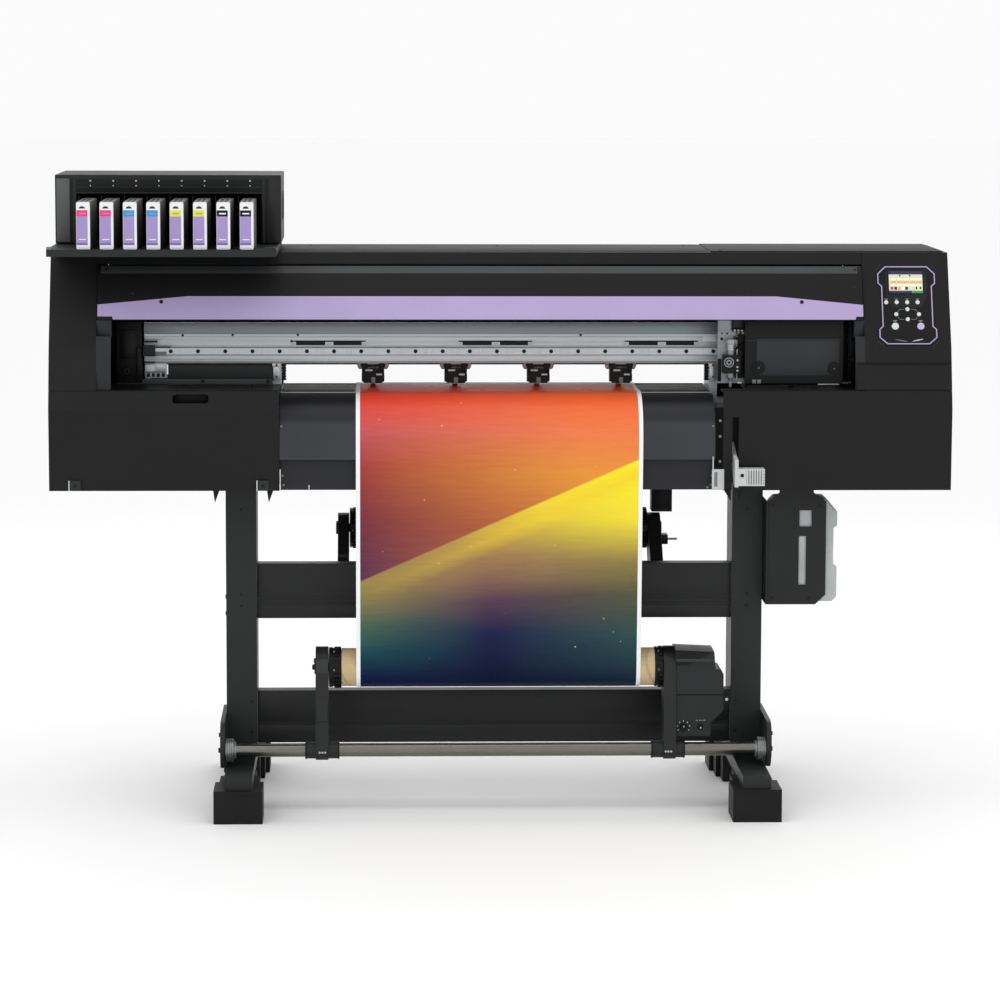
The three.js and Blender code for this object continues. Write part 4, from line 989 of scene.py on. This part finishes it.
def ink_unit():
    box, shelf = Box("ink_housing"), Box("ink_shelf")
    face = box.y0
    b = Build()
    slot_left, slot_right, slot_top = box.x0 + 46.6, box.x1 - 42.4, 1353
    b.block((slot_left, face - 1.2, slot_top + 2), (slot_right, face + 0.4, slot_top + 29), INK_DARK, 0.7)
    b.block((slot_left + 2, face - 2.2, slot_top + 11.5), (slot_right - 2, face - 0.8, slot_top + 13.5), INK, 0.4)
    b.block((slot_left - 4, face - 2.4, slot_top - 1.5), (slot_right + 4, face + 0.4, slot_top + 1.5), INK, 0.8)
    b.block((slot_left - 5, face - 1.6, box.z0 + 0.5), (slot_left - 1, face + 0.4, slot_top + 31), INK, 0.6)
    b.block((slot_right + 1, face - 1.6, box.z0 + 0.5), (slot_right + 5, face + 0.4, slot_top + 31), INK, 0.6)
    b.block((slot_left - 14, face - 1.0, box.z0 + 0.5), (slot_left - 9, face + 0.4, slot_top + 31), INK_DARK, 0.4)
    b.block((slot_right + 9, face - 1.0, box.z0 + 0.5), (slot_right + 14, face + 0.4, slot_top + 31), INK_DARK, 0.4)
    for i in range(8):
        x = -894.5 + 49.5 * i + 1
        for z, radius in ((1379, 2.0), (1368.5, 1.5)):
            b.lathe([(0, 0), (0, radius), (-1.0, radius * 0.8), (-1.2, 0)], "y", (x, face - 1.2, z), GREY, 14, 0)
    # left post painted lighter than the right post of the same plastic: painted light
    b.block((box.x0 + 3, face - 0.7, box.z0 + 4), (slot_left - 15, face + 0.3, box.z1 - 8), INK_POST_PAINTED_LIGHT, 0.5)
    b.block((slot_right + 16, face - 0.7, box.z0 + 4), (box.x1 - 3, face + 0.3, box.z1 - 8), INK, 0.5)
    b.done("ink_unit_front", STATIC, slot=SLOT_OF["ink_housing"])

    g = Build()
    for i in range(9):
        x = -894.5 + 49.5 * (i - 0.5)
        if slot_left + 3 < x < slot_right - 3:
            g.block((x - 1.2, face + 2, shelf.z1 + 0.4), (x + 1.2, -40, slot_top - 6), INK_DARK, 0.4)
    for i in range(8):
        x = -894.5 + 49.5 * i
        g.block((x - 20, -42, shelf.z1 + 4), (x + 20, -38.2, slot_top - 8), COVER_DARK, 0.5)
    g.done("ink_slot_guides", STATIC, slot=SLOT_OF["ink_housing"])

    t = Build()
    for x0, x1 in ((shelf.x0 + 0.2, shelf.x0 + 13), (shelf.x1 - 24, shelf.x1 - 2)):
        t.block((x0, shelf.y0 + 0.5, shelf.z1 - 0.5), (x1, shelf.y0 + 16, shelf.z1 + 5.5), MID_GREY if x0 < -700 else INK, 1.4, 3)
    t.block((shelf.x0 + 14, shelf.y0 + 0.4, shelf.z1 - 0.5), (shelf.x1 - 26, shelf.y0 + 3.4, shelf.z1 + 0.1), INK, 0.2)
    for k in range(8):
        x = -894.5 + 49.5 * k
        for side in (-17.4, 16.2):
            t.block((x + side, shelf.y0 + 14, shelf.z1 - 0.3), (x + side + 1.2, face - 4, shelf.z1 + 2.4), INK, 0.4)
    t.done("shelf_guides", STATIC, slot=SLOT_OF["ink_shelf"])

    v = Build()
    for i in range(12):
        v.block((box.x1 - 0.5, -60 + 14 * i, 1290), (box.x1 + 0.6, -53 + 14 * i, 1350), INK_DARK, 0.3)
        v.block((box.x0 - 0.6, -60 + 14 * i, 1290), (box.x0 + 0.5, -53 + 14 * i, 1350), INK_DARK, 0.3)
    for x in (box.x0 + 60, box.x, box.x1 - 60):
        v.screw("y", (x, box.y1, 1370), 3.4, BLACK_STEEL, out=1, height=1.2)
        v.screw("y", (x, box.y1, 1262), 3.4, BLACK_STEEL, out=1, height=1.2)
    v.block((box.x0 + 20, box.y1 - 0.4, 1300), (box.x1 - 20, box.y1 + 0.8, 1302.4), INK_DARK, 0.3)
    v.done("ink_unit_vents", STATIC, slot=SLOT_OF["ink_housing"])

    label_violet = (label("label_violet", "#9d8cbf"), label("label_violet_deep", "#7d68a8"))
    mark = label("label_mark", "#3a2a3c")
    for i in range(1, 9):
        cart = Box(f"cartridge_{i}")
        ink = label(f"label_ink_{i}", INKS[i - 1])
        c = Build()
        f = cart.y0
        corner = arc(cart.x0 + 2.6, cart.z0 + 2.6, 2.6, 2.6, 180, 270, 4) + arc(cart.x1 - 2.6, cart.z0 + 2.6, 2.6, 2.6, 270, 360, 4)
        corner += arc(cart.x1 - 3.4, cart.z1 - 3.4, 3.4, 3.4, 0, 90, 4) + arc(cart.x0 + 3.4, cart.z1 - 3.4, 3.4, 3.4, 90, 180, 4)
        c.prism(corner, "y", f - 1.6, f + 5, WHITE, 0.7)
        front = f - 1.6
        x0, x1 = cart.x0 + 0.6, cart.x1 - 5.0
        c.block((x0, front - 0.22, cart.z1 - 30), (x1, front + 0.1, cart.z1 - 17), ink, 0)
        c.block((x0, front - 0.20, cart.z0 + 9), (x1, front + 0.1, cart.z1 - 30), label_violet[0], 0)
        c.block((x0, front - 0.24, cart.z0 + 9), (x1, front + 0.1, cart.z0 + 14), label_violet[1], 0)
        c.block((x0 + 5, front - 0.26, cart.z0 + 20), (x1 - 4, front + 0.1, cart.z0 + 22), WHITE, 0)
        c.block((x0 + 5, front - 0.26, cart.z1 - 25.5), (x1 - 4, front + 0.1, cart.z1 - 22.5), WHITE if i > 6 else label_violet[0], 0)
        c.block((x0 + 1, front - 0.22, cart.z0 + 2.6), (x1, front + 0.1, cart.z0 + 3.6), GREY, 0)
        bow = arc(cart.x - 2, cart.z1 - 13.5, 6.5, 5.0, 0, 180, 8)
        c.prism(bow, "y", front - 0.24, front + 0.1, mark, 0)
        c.block((cart.x0 + 3, f + 12, cart.z1 - 0.1), (cart.x1 - 3, f + 150, cart.z1 + 0.35), CART_TOP, 0.1)
        for k in range(2):
            for y0, y1 in ((f + 16, f + 40), (f + 50, f + 92), (f + 102, f + 144)):
                c.block((cart.x0 + 6 + 10 * k, y0, cart.z1 + 0.2), (cart.x0 + 12 + 10 * k, y1, cart.z1 + 0.5), NYLON, 0)
        c.done(f"cartridge_{i}_face", f"cartridge_{i}", slot="cartridge_plastic")


CART_BODY = moulded("cartridge_case", rgb("#7a7573"), 0.3, 1200, 0.00002, 0.1, 0.4)
CART_TOP = moulded("cartridge_top", rgb("#7d7f80"), 0.4, 1200, 0.00002, 0.08, 0.4)
# lighter copy of the ink housing plastic for the left post: painted light
INK_POST_PAINTED_LIGHT = moulded("ink_post_painted_light", rgb("#555657"), 0.48)
# lighter copy of the carriage plastic for the lower face: painted light
CARRIAGE_FACE_PAINTED_LIGHT = moulded("carriage_face_painted_light", rgb("#303134"), 0.46)
CARRIAGE = moulded("carriage_shell", rgb("#0d0e0f"), 0.44)


# ---- stand ----
def stand_details():
    b = Build()
    for name in ("left_leg", "right_leg"):
        box = Box(name)
        middle = -573 if name == "left_leg" else 553
        out = -1 if name == "left_leg" else 1
        front = -61
        for z in (650, 460, 434, 218, 150):
            b.screw("y", (middle - out * 22 if z in (218, 150) else middle, front, z), 3.2, BLACK_STEEL, height=1.2)
        for z in (450, 412):
            b.screw("x", (middle + out * 34, -20, z), 5, BLACK_STEEL, out=out, height=3.0)
        b.block((middle - 33, front - 0.6, 700), (middle + 33, front + 0.3, 712), FRAME, 0.3)
        for side in (-1, 1):
            y = side * 348.8
            low, high = sorted((y, side * 349.9))
            b.block((middle - 49, low, 6), (middle + 49, high, 66), FOOT, 0.5)
            b.block((middle - 50.5, side * 349 - 1, 62), (middle + 50.5, side * 349 + 0.6, 64.5), FOOT, 0.3)
        for y in (-295, 295):
            b.lathe([(71.5, 0), (71.5, 11), (77, 11), (79, 8), (79, 0)], "z", (middle, y, 0), BLACK_STEEL, 6, 0.6)
    b.done("stand_fasteners", STATIC, slot="stand_steel")

    c = Build()
    for node, rows in (("upper_crossbeam", ((453, 527), (406.5, 434), (440, 447))),
                       ("lower_crossbeam", ((171.5, 241), (125.5, 164), (166, 169.5)))):
        box = Box(node)
        for low, high in rows:
            c.block((box.x0 + 0.4, box.y0 - 1.3, low), (box.x1 - 0.4, box.y0 + 0.3, high), STAND, 0.6)
    c.done("crossbeam_ridges", STATIC, slot="stand_steel")

    r = Build()
    rail = Box("take_up_rail")
    for side, start in ((1, rail.x0 + 0.2), (-1, rail.x1 - 0.2)):
        for k in range(4):
            x = start + side * (2 + 4.4 * k)
            low, high = sorted((x, x + side * 2.6))
            r.lathe([(low, 24), (low, 26.2), (high, 26.2), (high, 24), (low, 24)], "x", (0, rail.y, rail.z), PLATE, 48, 0.4)
        r.lathe([(start + side * 20.2, 15), (start + side * 20.2, 19), (start + side * 24, 17.4), (start + side * 24, 15),
                 (start + side * 20.2, 15)], "x", (0, rail.y, rail.z), PLATE, 40, 0.4)
    r.done("rail_flange_rings", STATIC, slot="rail_steel")

    n = Build()
    for out, edge in ((-1, Box("left_leg").x0), (1, Box("right_leg").x1)):
        plate = -573 - 43 if out < 0 else 553 + 43
        n.lathe([(0, 0), (0, 6), (out * 5, 5.2), (out * 5, 2.6), (out * 3, 2.4), (out * 3, 0)], "x", (plate, rail.y, rail.z), BLACK_STEEL, 22, 0.3)
        for y, z in ((-60, 176), (-60, 118), (-205, 170)):
            n.lathe([(0, 0), (0, 5), (out * 3, 4.6), (out * 3, 2.2), (out * 1.6, 2.0), (out * 1.6, 0)], "x", (plate, y, z), BLACK_STEEL, 20, 0.2)
    n.done("rail_bracket_bolts", STATIC, slot="stand_steel")


# ---- take-up and supply ----
def holder_teeth(name, body, x0, x1, y, z, radius, slot):
    b = Build()
    width = x1 - x0
    b.lathe([(x0 + 0.4, radius - 3), (x0 + 0.4, radius + 1.2), (x0 + width * 0.3, radius + 1.2), (x0 + width * 0.34, radius - 3),
             (x0 + 0.4, radius - 3)], "x", (0, y, z), NYLON, 48, 0.3)
    for k in range(24):
        angle = 2 * math.pi * k / 24
        turn = Matrix.Rotation(-angle, 4, "X")
        cy, cz = y + (radius + 0.6) * math.sin(angle), z + (radius + 0.6) * math.cos(angle)
        b.block((x0 + width * 0.45, cy - 2.4, cz - 1.8), (x1 - 0.6, cy + 2.4, cz + 1.8), NYLON, 0.6, 2, turn)
    for k in range(6):
        angle = 2 * math.pi * (k + 0.5) / 6
        b.lathe([(x0 + width * 0.36, 0), (x0 + width * 0.36, 2.6), (x0 + width * 0.5, 2.4), (x0 + width * 0.5, 0)], "x",
                (0, y + (radius + 0.3) * math.sin(angle), z + (radius + 0.3) * math.cos(angle)), MID_GREY, 12, 0.2)
    b.done(name, body, slot=slot)


def take_up_details():
    y, z = -150, 311
    holder_teeth("left_holder_teeth", "left_core_holder", -378, -350.4, y, z, 43, "holder_plastic")
    holder_teeth("drive_holder_teeth", "take_up_roll", 340.4, 358, y, z, 43, "holder_plastic")

    a = Build()
    slant = math.atan2(-150 + 190, 311 - 133)
    place = Matrix.Translation((0, -190, 133)) @ Matrix.Rotation(-slant, 4, "X")
    s = Build(place)
    s.block((-405, -23.4, 24), (-381, -20.5, 60), ARM_LIGHT, 0.8)
    s.prism([(-405, 62), (-381, 62), (-381, 150), (-405, 150)], "y", -36, -33, ARM, 0.5)
    s.done("left_arm_ribs", "take_up_left_arm", slot="arm_plastic")
    for zz in (330, 318):
        a.lathe([(0, 0), (0, 5.4), (-4, 4.8), (-4, 0)], "x", (-407, -176, zz), BLACK_STEEL, 18, 0.3)
    a.lathe([(0, 0), (0, 16), (-3, 15), (-3, 6), (-8, 5.4), (-8, 0)], "x", (-407, y, z), NYLON, 36, 0.5)
    band = arc(y, z, 46.8, 46.8, 150, 190, 8) + arc(y, z, 45.6, 45.6, 190, 150, 8)
    a.prism(band, "x", -406.4, -379.6, ARM_LIGHT, 0.2)
    for x in (-430, -358.2):
        a.lathe([(x, 15.6), (x, 20.4), (x + 3.2, 20.4), (x + 3.2, 15.6), (x, 15.6)], "x", (0, -190, 133), NYLON, 40, 0.5)
    for x in (-397, -391, -385):
        a.lathe([(0, 0), (0, 2.6), (-1.6, 2.2), (-1.6, 0)], "y", (x - 1, -211.4, 131), STEEL, 14, 0.2)
    a.done("left_arm_fittings", "take_up_left_arm", slot="arm_plastic")

    d = Build()
    face = -196
    d.block((386, face - 1.0, 253.4), (489, face + 0.4, 255.4), COVER_DARK, 0.2)
    d.prism([(388, 164), (461, 164), (461, 191), (488, 218), (488, 252), (388, 252)], "y", face - 0.9, face + 0.3, ARM, 0.4)
    d.prism([(388, 257), (489, 257), (489, 298), (482, 309), (470, 309), (467, 320), (388, 320)], "y", face - 0.9, face + 0.3, ARM, 0.4)
    # top shoulder strip: painted highlight
    d.block((386, face - 1.6, 328), (468, face + 0.4, 335), ARM_LIGHT, 1.2, 3)
    for k in range(7):
        angle = math.radians(-120 + 40 * k)
        cx, cz = 403 + 13.5 * math.sin(angle), 183 + 13.5 * math.cos(angle)
        turn = Matrix.Rotation(angle, 4, "Y")
        d.block((cx - 0.5, face - 1.15, cz - 1.6), (cx + 0.5, face - 0.6, cz + 1.6), WHITE, 0, 1, turn)
    for k in range(3):
        d.block((430 + 8 * k, face - 1.15, 197), (435 + 8 * k, face - 0.6, 198.6), LEGEND, 0)
    d.lathe([(0, 4.9), (0, 6.8), (-0.9, 6.4), (-0.9, 4.9), (0, 4.9)], "y", (440, face, 183), NYLON, 24, 0.2)
    d.prism([(491, 262), (508, 256), (508, 230), (500, 228), (491, 240)], "y", -170, -150, NYLON, 1.2)
    d.lathe([(0, 0), (0, 4), (-3, 3.4), (-3, 0)], "y", (500, -170, 240), STEEL, 14, 0.2)
    d.lathe([(332, 15.6), (332, 20.4), (335.2, 20.4), (335.2, 15.6), (332, 15.6)], "x", (0, -190, 133), NYLON, 40, 0.5)
    d.lathe([(402.8, 15.6), (402.8, 20.4), (406, 20.4), (406, 15.6), (402.8, 15.6)], "x", (0, -190, 133), NYLON, 40, 0.5)
    for x in (363, 369, 375):
        d.lathe([(0, 0), (0, 2.6), (-1.6, 2.2), (-1.6, 0)], "y", (x, -211.4, 131), STEEL, 14, 0.2)
    d.block((400, -105, 176), (450, -103.2, 214), NYLON, 0.8)
    d.done("drive_fittings", STATIC, slot="arm_plastic")

    place = Matrix.Translation((0, -190, 133)) @ Matrix.Rotation(-slant, 4, "X")
    q = Build(place)
    q.block((361, -23.4, 24), (384, -20.5, 70), ARM_LIGHT, 0.8)
    q.done("drive_arm_rib", STATIC, slot="arm_plastic")

    k = Build()
    knob = Box("speed_knob")
    for i in range(16):
        angle = 2 * math.pi * i / 16
        k.block((knob.x + 6.1 * math.cos(angle) - 0.5, -209.6, 183 + 6.1 * math.sin(angle) - 0.5),
                (knob.x + 6.1 * math.cos(angle) + 0.5, -201.8, 183 + 6.1 * math.sin(angle) + 0.5), NYLON, 0.2)
    k.block((knob.x - 0.5, -210.3, 184), (knob.x + 0.5, -209.8, 188.6), WHITE, 0)
    k.done("knob_ribs", "speed_knob", slot="knob_plastic")
    w = Build()
    w.lathe([(0, 0), (0, 1.4), (-0.6, 1.0), (-0.6, 0)], "y", (440, -209, 183), WHITE, 14, 0)
    w.done("switch_tip", "direction_switch", slot="knob_plastic")


def supply_details():
    y, z = 150, 583
    holder_teeth("supply_left_teeth", "supply_left_flange", -333.2, -318, y, z, 44, "holder_plastic")
    holder_teeth("supply_right_teeth", "supply_roll", 326, 342.4, y, z, 44, "holder_plastic")
    b = Build()
    right = Box("supply_right_bracket")
    b.block((373, 130, 546), (391, 168, 568), NYLON, 1.4)
    b.lathe([(391, 0), (391, 2.6), (413, 2.6), (414, 0)], "x", (0, 150, 556), STEEL, 16, 0.2)
    for k in range(8):
        b.lathe([(393 + 2.5 * k, 2.4), (393.6 + 2.5 * k, 3.4), (394.2 + 2.5 * k, 2.4), (393 + 2.5 * k, 2.4)], "x", (0, 150, 556), STEEL, 16, 0)
    b.lathe([(372.6, 0), (372.6, 15), (377, 14), (377, 0)], "x", (0, y, z), NYLON, 32, 0.5)
    for low in (604, 436):
        b.block((right.x0 + 0.6, 12 if low < 500 else 158, low), (right.x1 + 0.8, 30 if low < 500 else 170, low + 5), ARM_LIGHT, 0.6)
    b.done("supply_right_fittings", STATIC, slot="arm_plastic")

    m = Build()
    m.block((352, 120, 622), (399, 172, 709), NYLON, 2.0, 3)
    m.block((356, 117.5, 630), (395, 120.5, 690), COVER_DARK, 0.8)
    m.done("rear_media_sensor", STATIC, slot="arm_plastic")

    a = Build()
    left = Box("supply_left_bracket")
    a.block((left.x0 - 4.6, 134, 570), (left.x0 + 0.4, 166, 596), NYLON, 1.4)
    a.lathe([(left.x0, 0), (left.x0, 14), (left.x0 - 3, 13), (left.x0 - 3, 0)], "x", (0, y, z + 2), NYLON, 32, 0.5)
    for low in (436, 524):
        a.block((left.x0 + 0.6, 38.6, low), (left.x1 - 0.6, 41.2, low + 12), ARM_LIGHT, 0.6)
    a.done("supply_left_fittings", "supply_left_bracket", slot="arm_plastic")


def waste_details():
    box, tank = Box("waste_tank_bracket"), Box("waste_tank")
    b = Build()
    for x, z in ((604, 458), (686, 458), (604, 664), (708, 664), (630, 706), (684, 706)):
        b.screw("y", (x, box.y0, z), 3.4, BLACK_STEEL, height=1.4)
    b.block((652, box.y0 - 1.0, 612), (654.5, box.y0 + 0.2, 660), FRAME, 0.3)
    b.block((594, box.y0 - 1.0, 447), (597, box.y0 + 0.2, 672), FRAME, 0.3)
    b.done("tank_bracket_fasteners", STATIC, slot="stand_steel")
    t = Build()
    t.lathe([(0, 0), (0, 20), (16, 19), (16, 0)], "z", (668, -72, tank.z1 - 0.4), WHITE, 36, 0.8)
    for k in range(24):
        angle = 2 * math.pi * k / 24
        cx, cy = 668 + 19.6 * math.cos(angle), -72 + 19.6 * math.sin(angle)
        t.block((cx - 0.7, cy - 0.7, tank.z1 + 1.5), (cx + 0.7, cy + 0.7, tank.z1 + 14), WHITE, 0.2)
    for k in range(4):
        t.block((tank.x1 - 30, tank.y0 - 0.7, 545 + 14 * k), (tank.x1 - 14, tank.y0 + 0.4, 546.4 + 14 * k), BOTTLE, 0.3)
    t.done("tank_cap", "waste_tank", slot="tank_plastic")


# ---- film ----
def web_line():
    """Middle line of the CAD web as [y, z] points in mm, from the supply roll to the take-up roll."""
    bm = bmesh.new()
    bm.from_mesh(frame["nodes"]["media_web"].data)
    bmesh.ops.remove_doubles(bm, verts=bm.verts, dist=1e-6)
    edge_x = min(v.co.x for v in bm.verts)
    cap = {f for f in bm.faces if all(v.co.x - edge_x < 1e-5 for v in f.verts)}
    rim = [e for e in bm.edges if sum(f in cap for f in e.link_faces) == 1]
    follow = {}
    for e in rim:
        for a, b in (e.verts, reversed(e.verts)):
            follow.setdefault(a, []).append(b)
    start = next(e for e in rim if all(abs(v.co.z - Box("supply_roll").z * MM) < 0.004 for v in e.verts))
    before, here = start.verts
    loop = [here]
    while len(loop) < len(follow):
        before, here = here, next(v for v in follow[here] if v is not before)
        loop.append(here)
    points = [Vector((v.co.y / MM, v.co.z / MM)) for v in loop]
    bm.free()
    half = len(points) // 2
    return [(a + b) / 2 for a, b in zip(points[:half], points[half:][::-1])]


def soften(points, reach=9, rounds=2):
    """Rounds the corners of a line, using no more than reach on each side of them."""
    dense = [points[0]]
    for a, b in zip(points, points[1:]):
        length = (b - a).length
        if length > 2.5 * reach:
            dense += [a + (b - a) * reach / length, b - (b - a) * reach / length]
        dense.append(b)
    for _ in range(rounds):
        cut = [dense[0]]
        for a, b in zip(dense, dense[1:]):
            cut += [a * 0.75 + b * 0.25, a * 0.25 + b * 0.75] if (b - a).length < 2.5 * reach else [a, b]
        dense = cut + [dense[-1]]
    return dense


def media_film():
    web = Box("media_web")
    line = soften(web_line())
    fine = [line[0]]
    for a, b in zip(line, line[1:]):
        steps = max(1, int((b - a).length // 30))
        fine += [a + (b - a) * (k + 1) / steps for k in range(steps) if (b - a).length > 1e-4]
    length = sum((b - a).length for a, b in zip(fine, fine[1:]))
    columns, half = 26, 0.3
    bm = bmesh.new()
    sides = []
    for sign in (-1, 1):
        rows = []
        for i, point in enumerate(fine):
            way = (fine[min(i + 1, len(fine) - 1)] - fine[max(i - 1, 0)]).normalized()
            normal = Vector((-way.y, way.x))
            free = max(0.0, min(1.0, (760 - point.y) / 200)) * max(0.0, min(1.0, (point.y - 340) / 120)) if point.x < 0 else 0
            row = []
            for k in range(columns + 1):
                share = k / columns
                swell = free * (0.9 * math.sin(share * 9.0 + point.y * 0.004) + 0.5 * math.sin(share * 21 + point.y * 0.011))
                spot = point + normal * (sign * half) + Vector((-abs(swell), 0))
                row.append(bm.verts.new((web.x0 + (web.x1 - web.x0) * share, spot.x, spot.y)))
            rows.append(row)
        sides.append(rows)
    for rows in sides:
        for a, b in zip(rows, rows[1:]):
            for k in range(columns):
                bm.faces.new((a[k], a[k + 1], b[k + 1], b[k]))
    low, high = sides
    for k in range(columns):
        for i in (0, -1):
            bm.faces.new((low[i][k], low[i][k + 1], high[i][k + 1], high[i][k]))
    for i in range(len(fine) - 1):
        for k in (0, -1):
            bm.faces.new((low[i][k], low[i + 1][k], high[i + 1][k], high[i][k]))
    film = Build()
    film.keep(bm, PRINT, 0)
    piece = film.done("media_film", STATIC, ("media_web",), SLOT_OF["media_web"])


WEB = Box("media_web")
PRINT = printed_film("printed_film", WEB.x0 * MM, WEB.x1 * MM, 918 * MM, 268 * MM)


def dress_frame():
    roll, supply = Box("take_up_roll"), Box("supply_roll")
    plain = {
        "right_lower_cover": (COVER, 0.9),
        "top_cover": (COVER, 1.0), "front_cover": (COVER, 0.8), "control_panel": (PANEL, 0.5),
        "base_frame": (FRAME, 0.8), "platen": (PLATEN, 0.6), "front_apron": (APRON_PAINTED_SHADE, 0.5), "rear_guide": (APRON, 0.5),
        "upper_crossbeam": (STAND, 1.2), "lower_crossbeam": (STAND, 1.2), "take_up_rail": (TUBE, 0.8),
        "y_bar": (BAR, 0.8), "grit_roller": (STEEL, 0.4), "cutter_pen": (PLATE, 0.3), "clamp_lever": (GREY, 1.0),
        "ink_housing": (INK, 2.0), "ink_shelf": (INK, 0.9), "waste_tank_bracket": (STAND, 0.6),
        "waste_tank": (BOTTLE, 5.0), "take_up_left_arm": (ARM, 1.2), "left_core_holder": (NYLON, 0.8),
        "drive_core_holder": (NYLON, 0.8), "speed_knob": (NYLON, 0.4),
        "direction_switch": (NYLON, 0.3), "supply_left_bracket": (ARM, 1.2), "supply_right_bracket": (ARM, 1.2),
        "supply_left_flange": (NYLON, 0.8), "supply_right_flange": (NYLON, 0.8),
    }
    for node, (finish, bevel) in plain.items():
        dress(node, finish, bevel)
    dress("take_up_drive", ARM, 1.4, 2, (lambda x, y, z: z > 336, NYLON))
    for i in range(1, 5):
        dress(f"pinch_arm_{i}", NYLON, 0.7)
    for i in range(1, 9):
        dress(f"cartridge_{i}", CART_BODY, 0.8)
    for node in frame["nodes"]:
        if node.startswith("key_"):
            dress(node, KEY_VIOLET if node == "key_enter" else KEY_WHITE, 0.6, 3)
    dress("print_carriage", CARRIAGE, 1.2, 2, (lambda x, y, z: x < 535.5 and y > -112.6, PLATE))
    wound = lambda box: (lambda x, y, z: box.x0 + 25 < x < box.x1 - 25 and math.hypot(y - box.y, z - box.z) > 42.05)
    dress("take_up_roll", CARD, 0.3, 1, (wound(roll), PRINT))
    dress("supply_roll", CARD, 0.3, 1, (wound(supply), FILM))
    left, right = Box("left_side_cover"), Box("right_side_cover")
    dress("left_side_cover", COVER, 1.8, 2, (lambda x, y, z: left.x1 - 31 < x < left.x1 - 0.1, COVER_LIGHT))
    dress("right_side_cover", COVER, 1.8, 2, (lambda x, y, z: right.x0 + 0.1 < x < right.x0 + 20.9, COVER_LIGHT))
    foot = lambda x, y, z: z < 72.5 and not (abs(y) < 100)
    for node in ("left_leg", "right_leg"):
        dress(node, COLUMN, 1.6, 2, (foot, FOOT))


front_cover()
side_covers()
lower_covers()
control_panel()
bar_details()
pinch_details()
carriage_details()
lever_details()
ink_unit()
stand_details()
take_up_details()
supply_details()
waste_details()
media_film()


make_camera()
make_stage()
dress_frame()
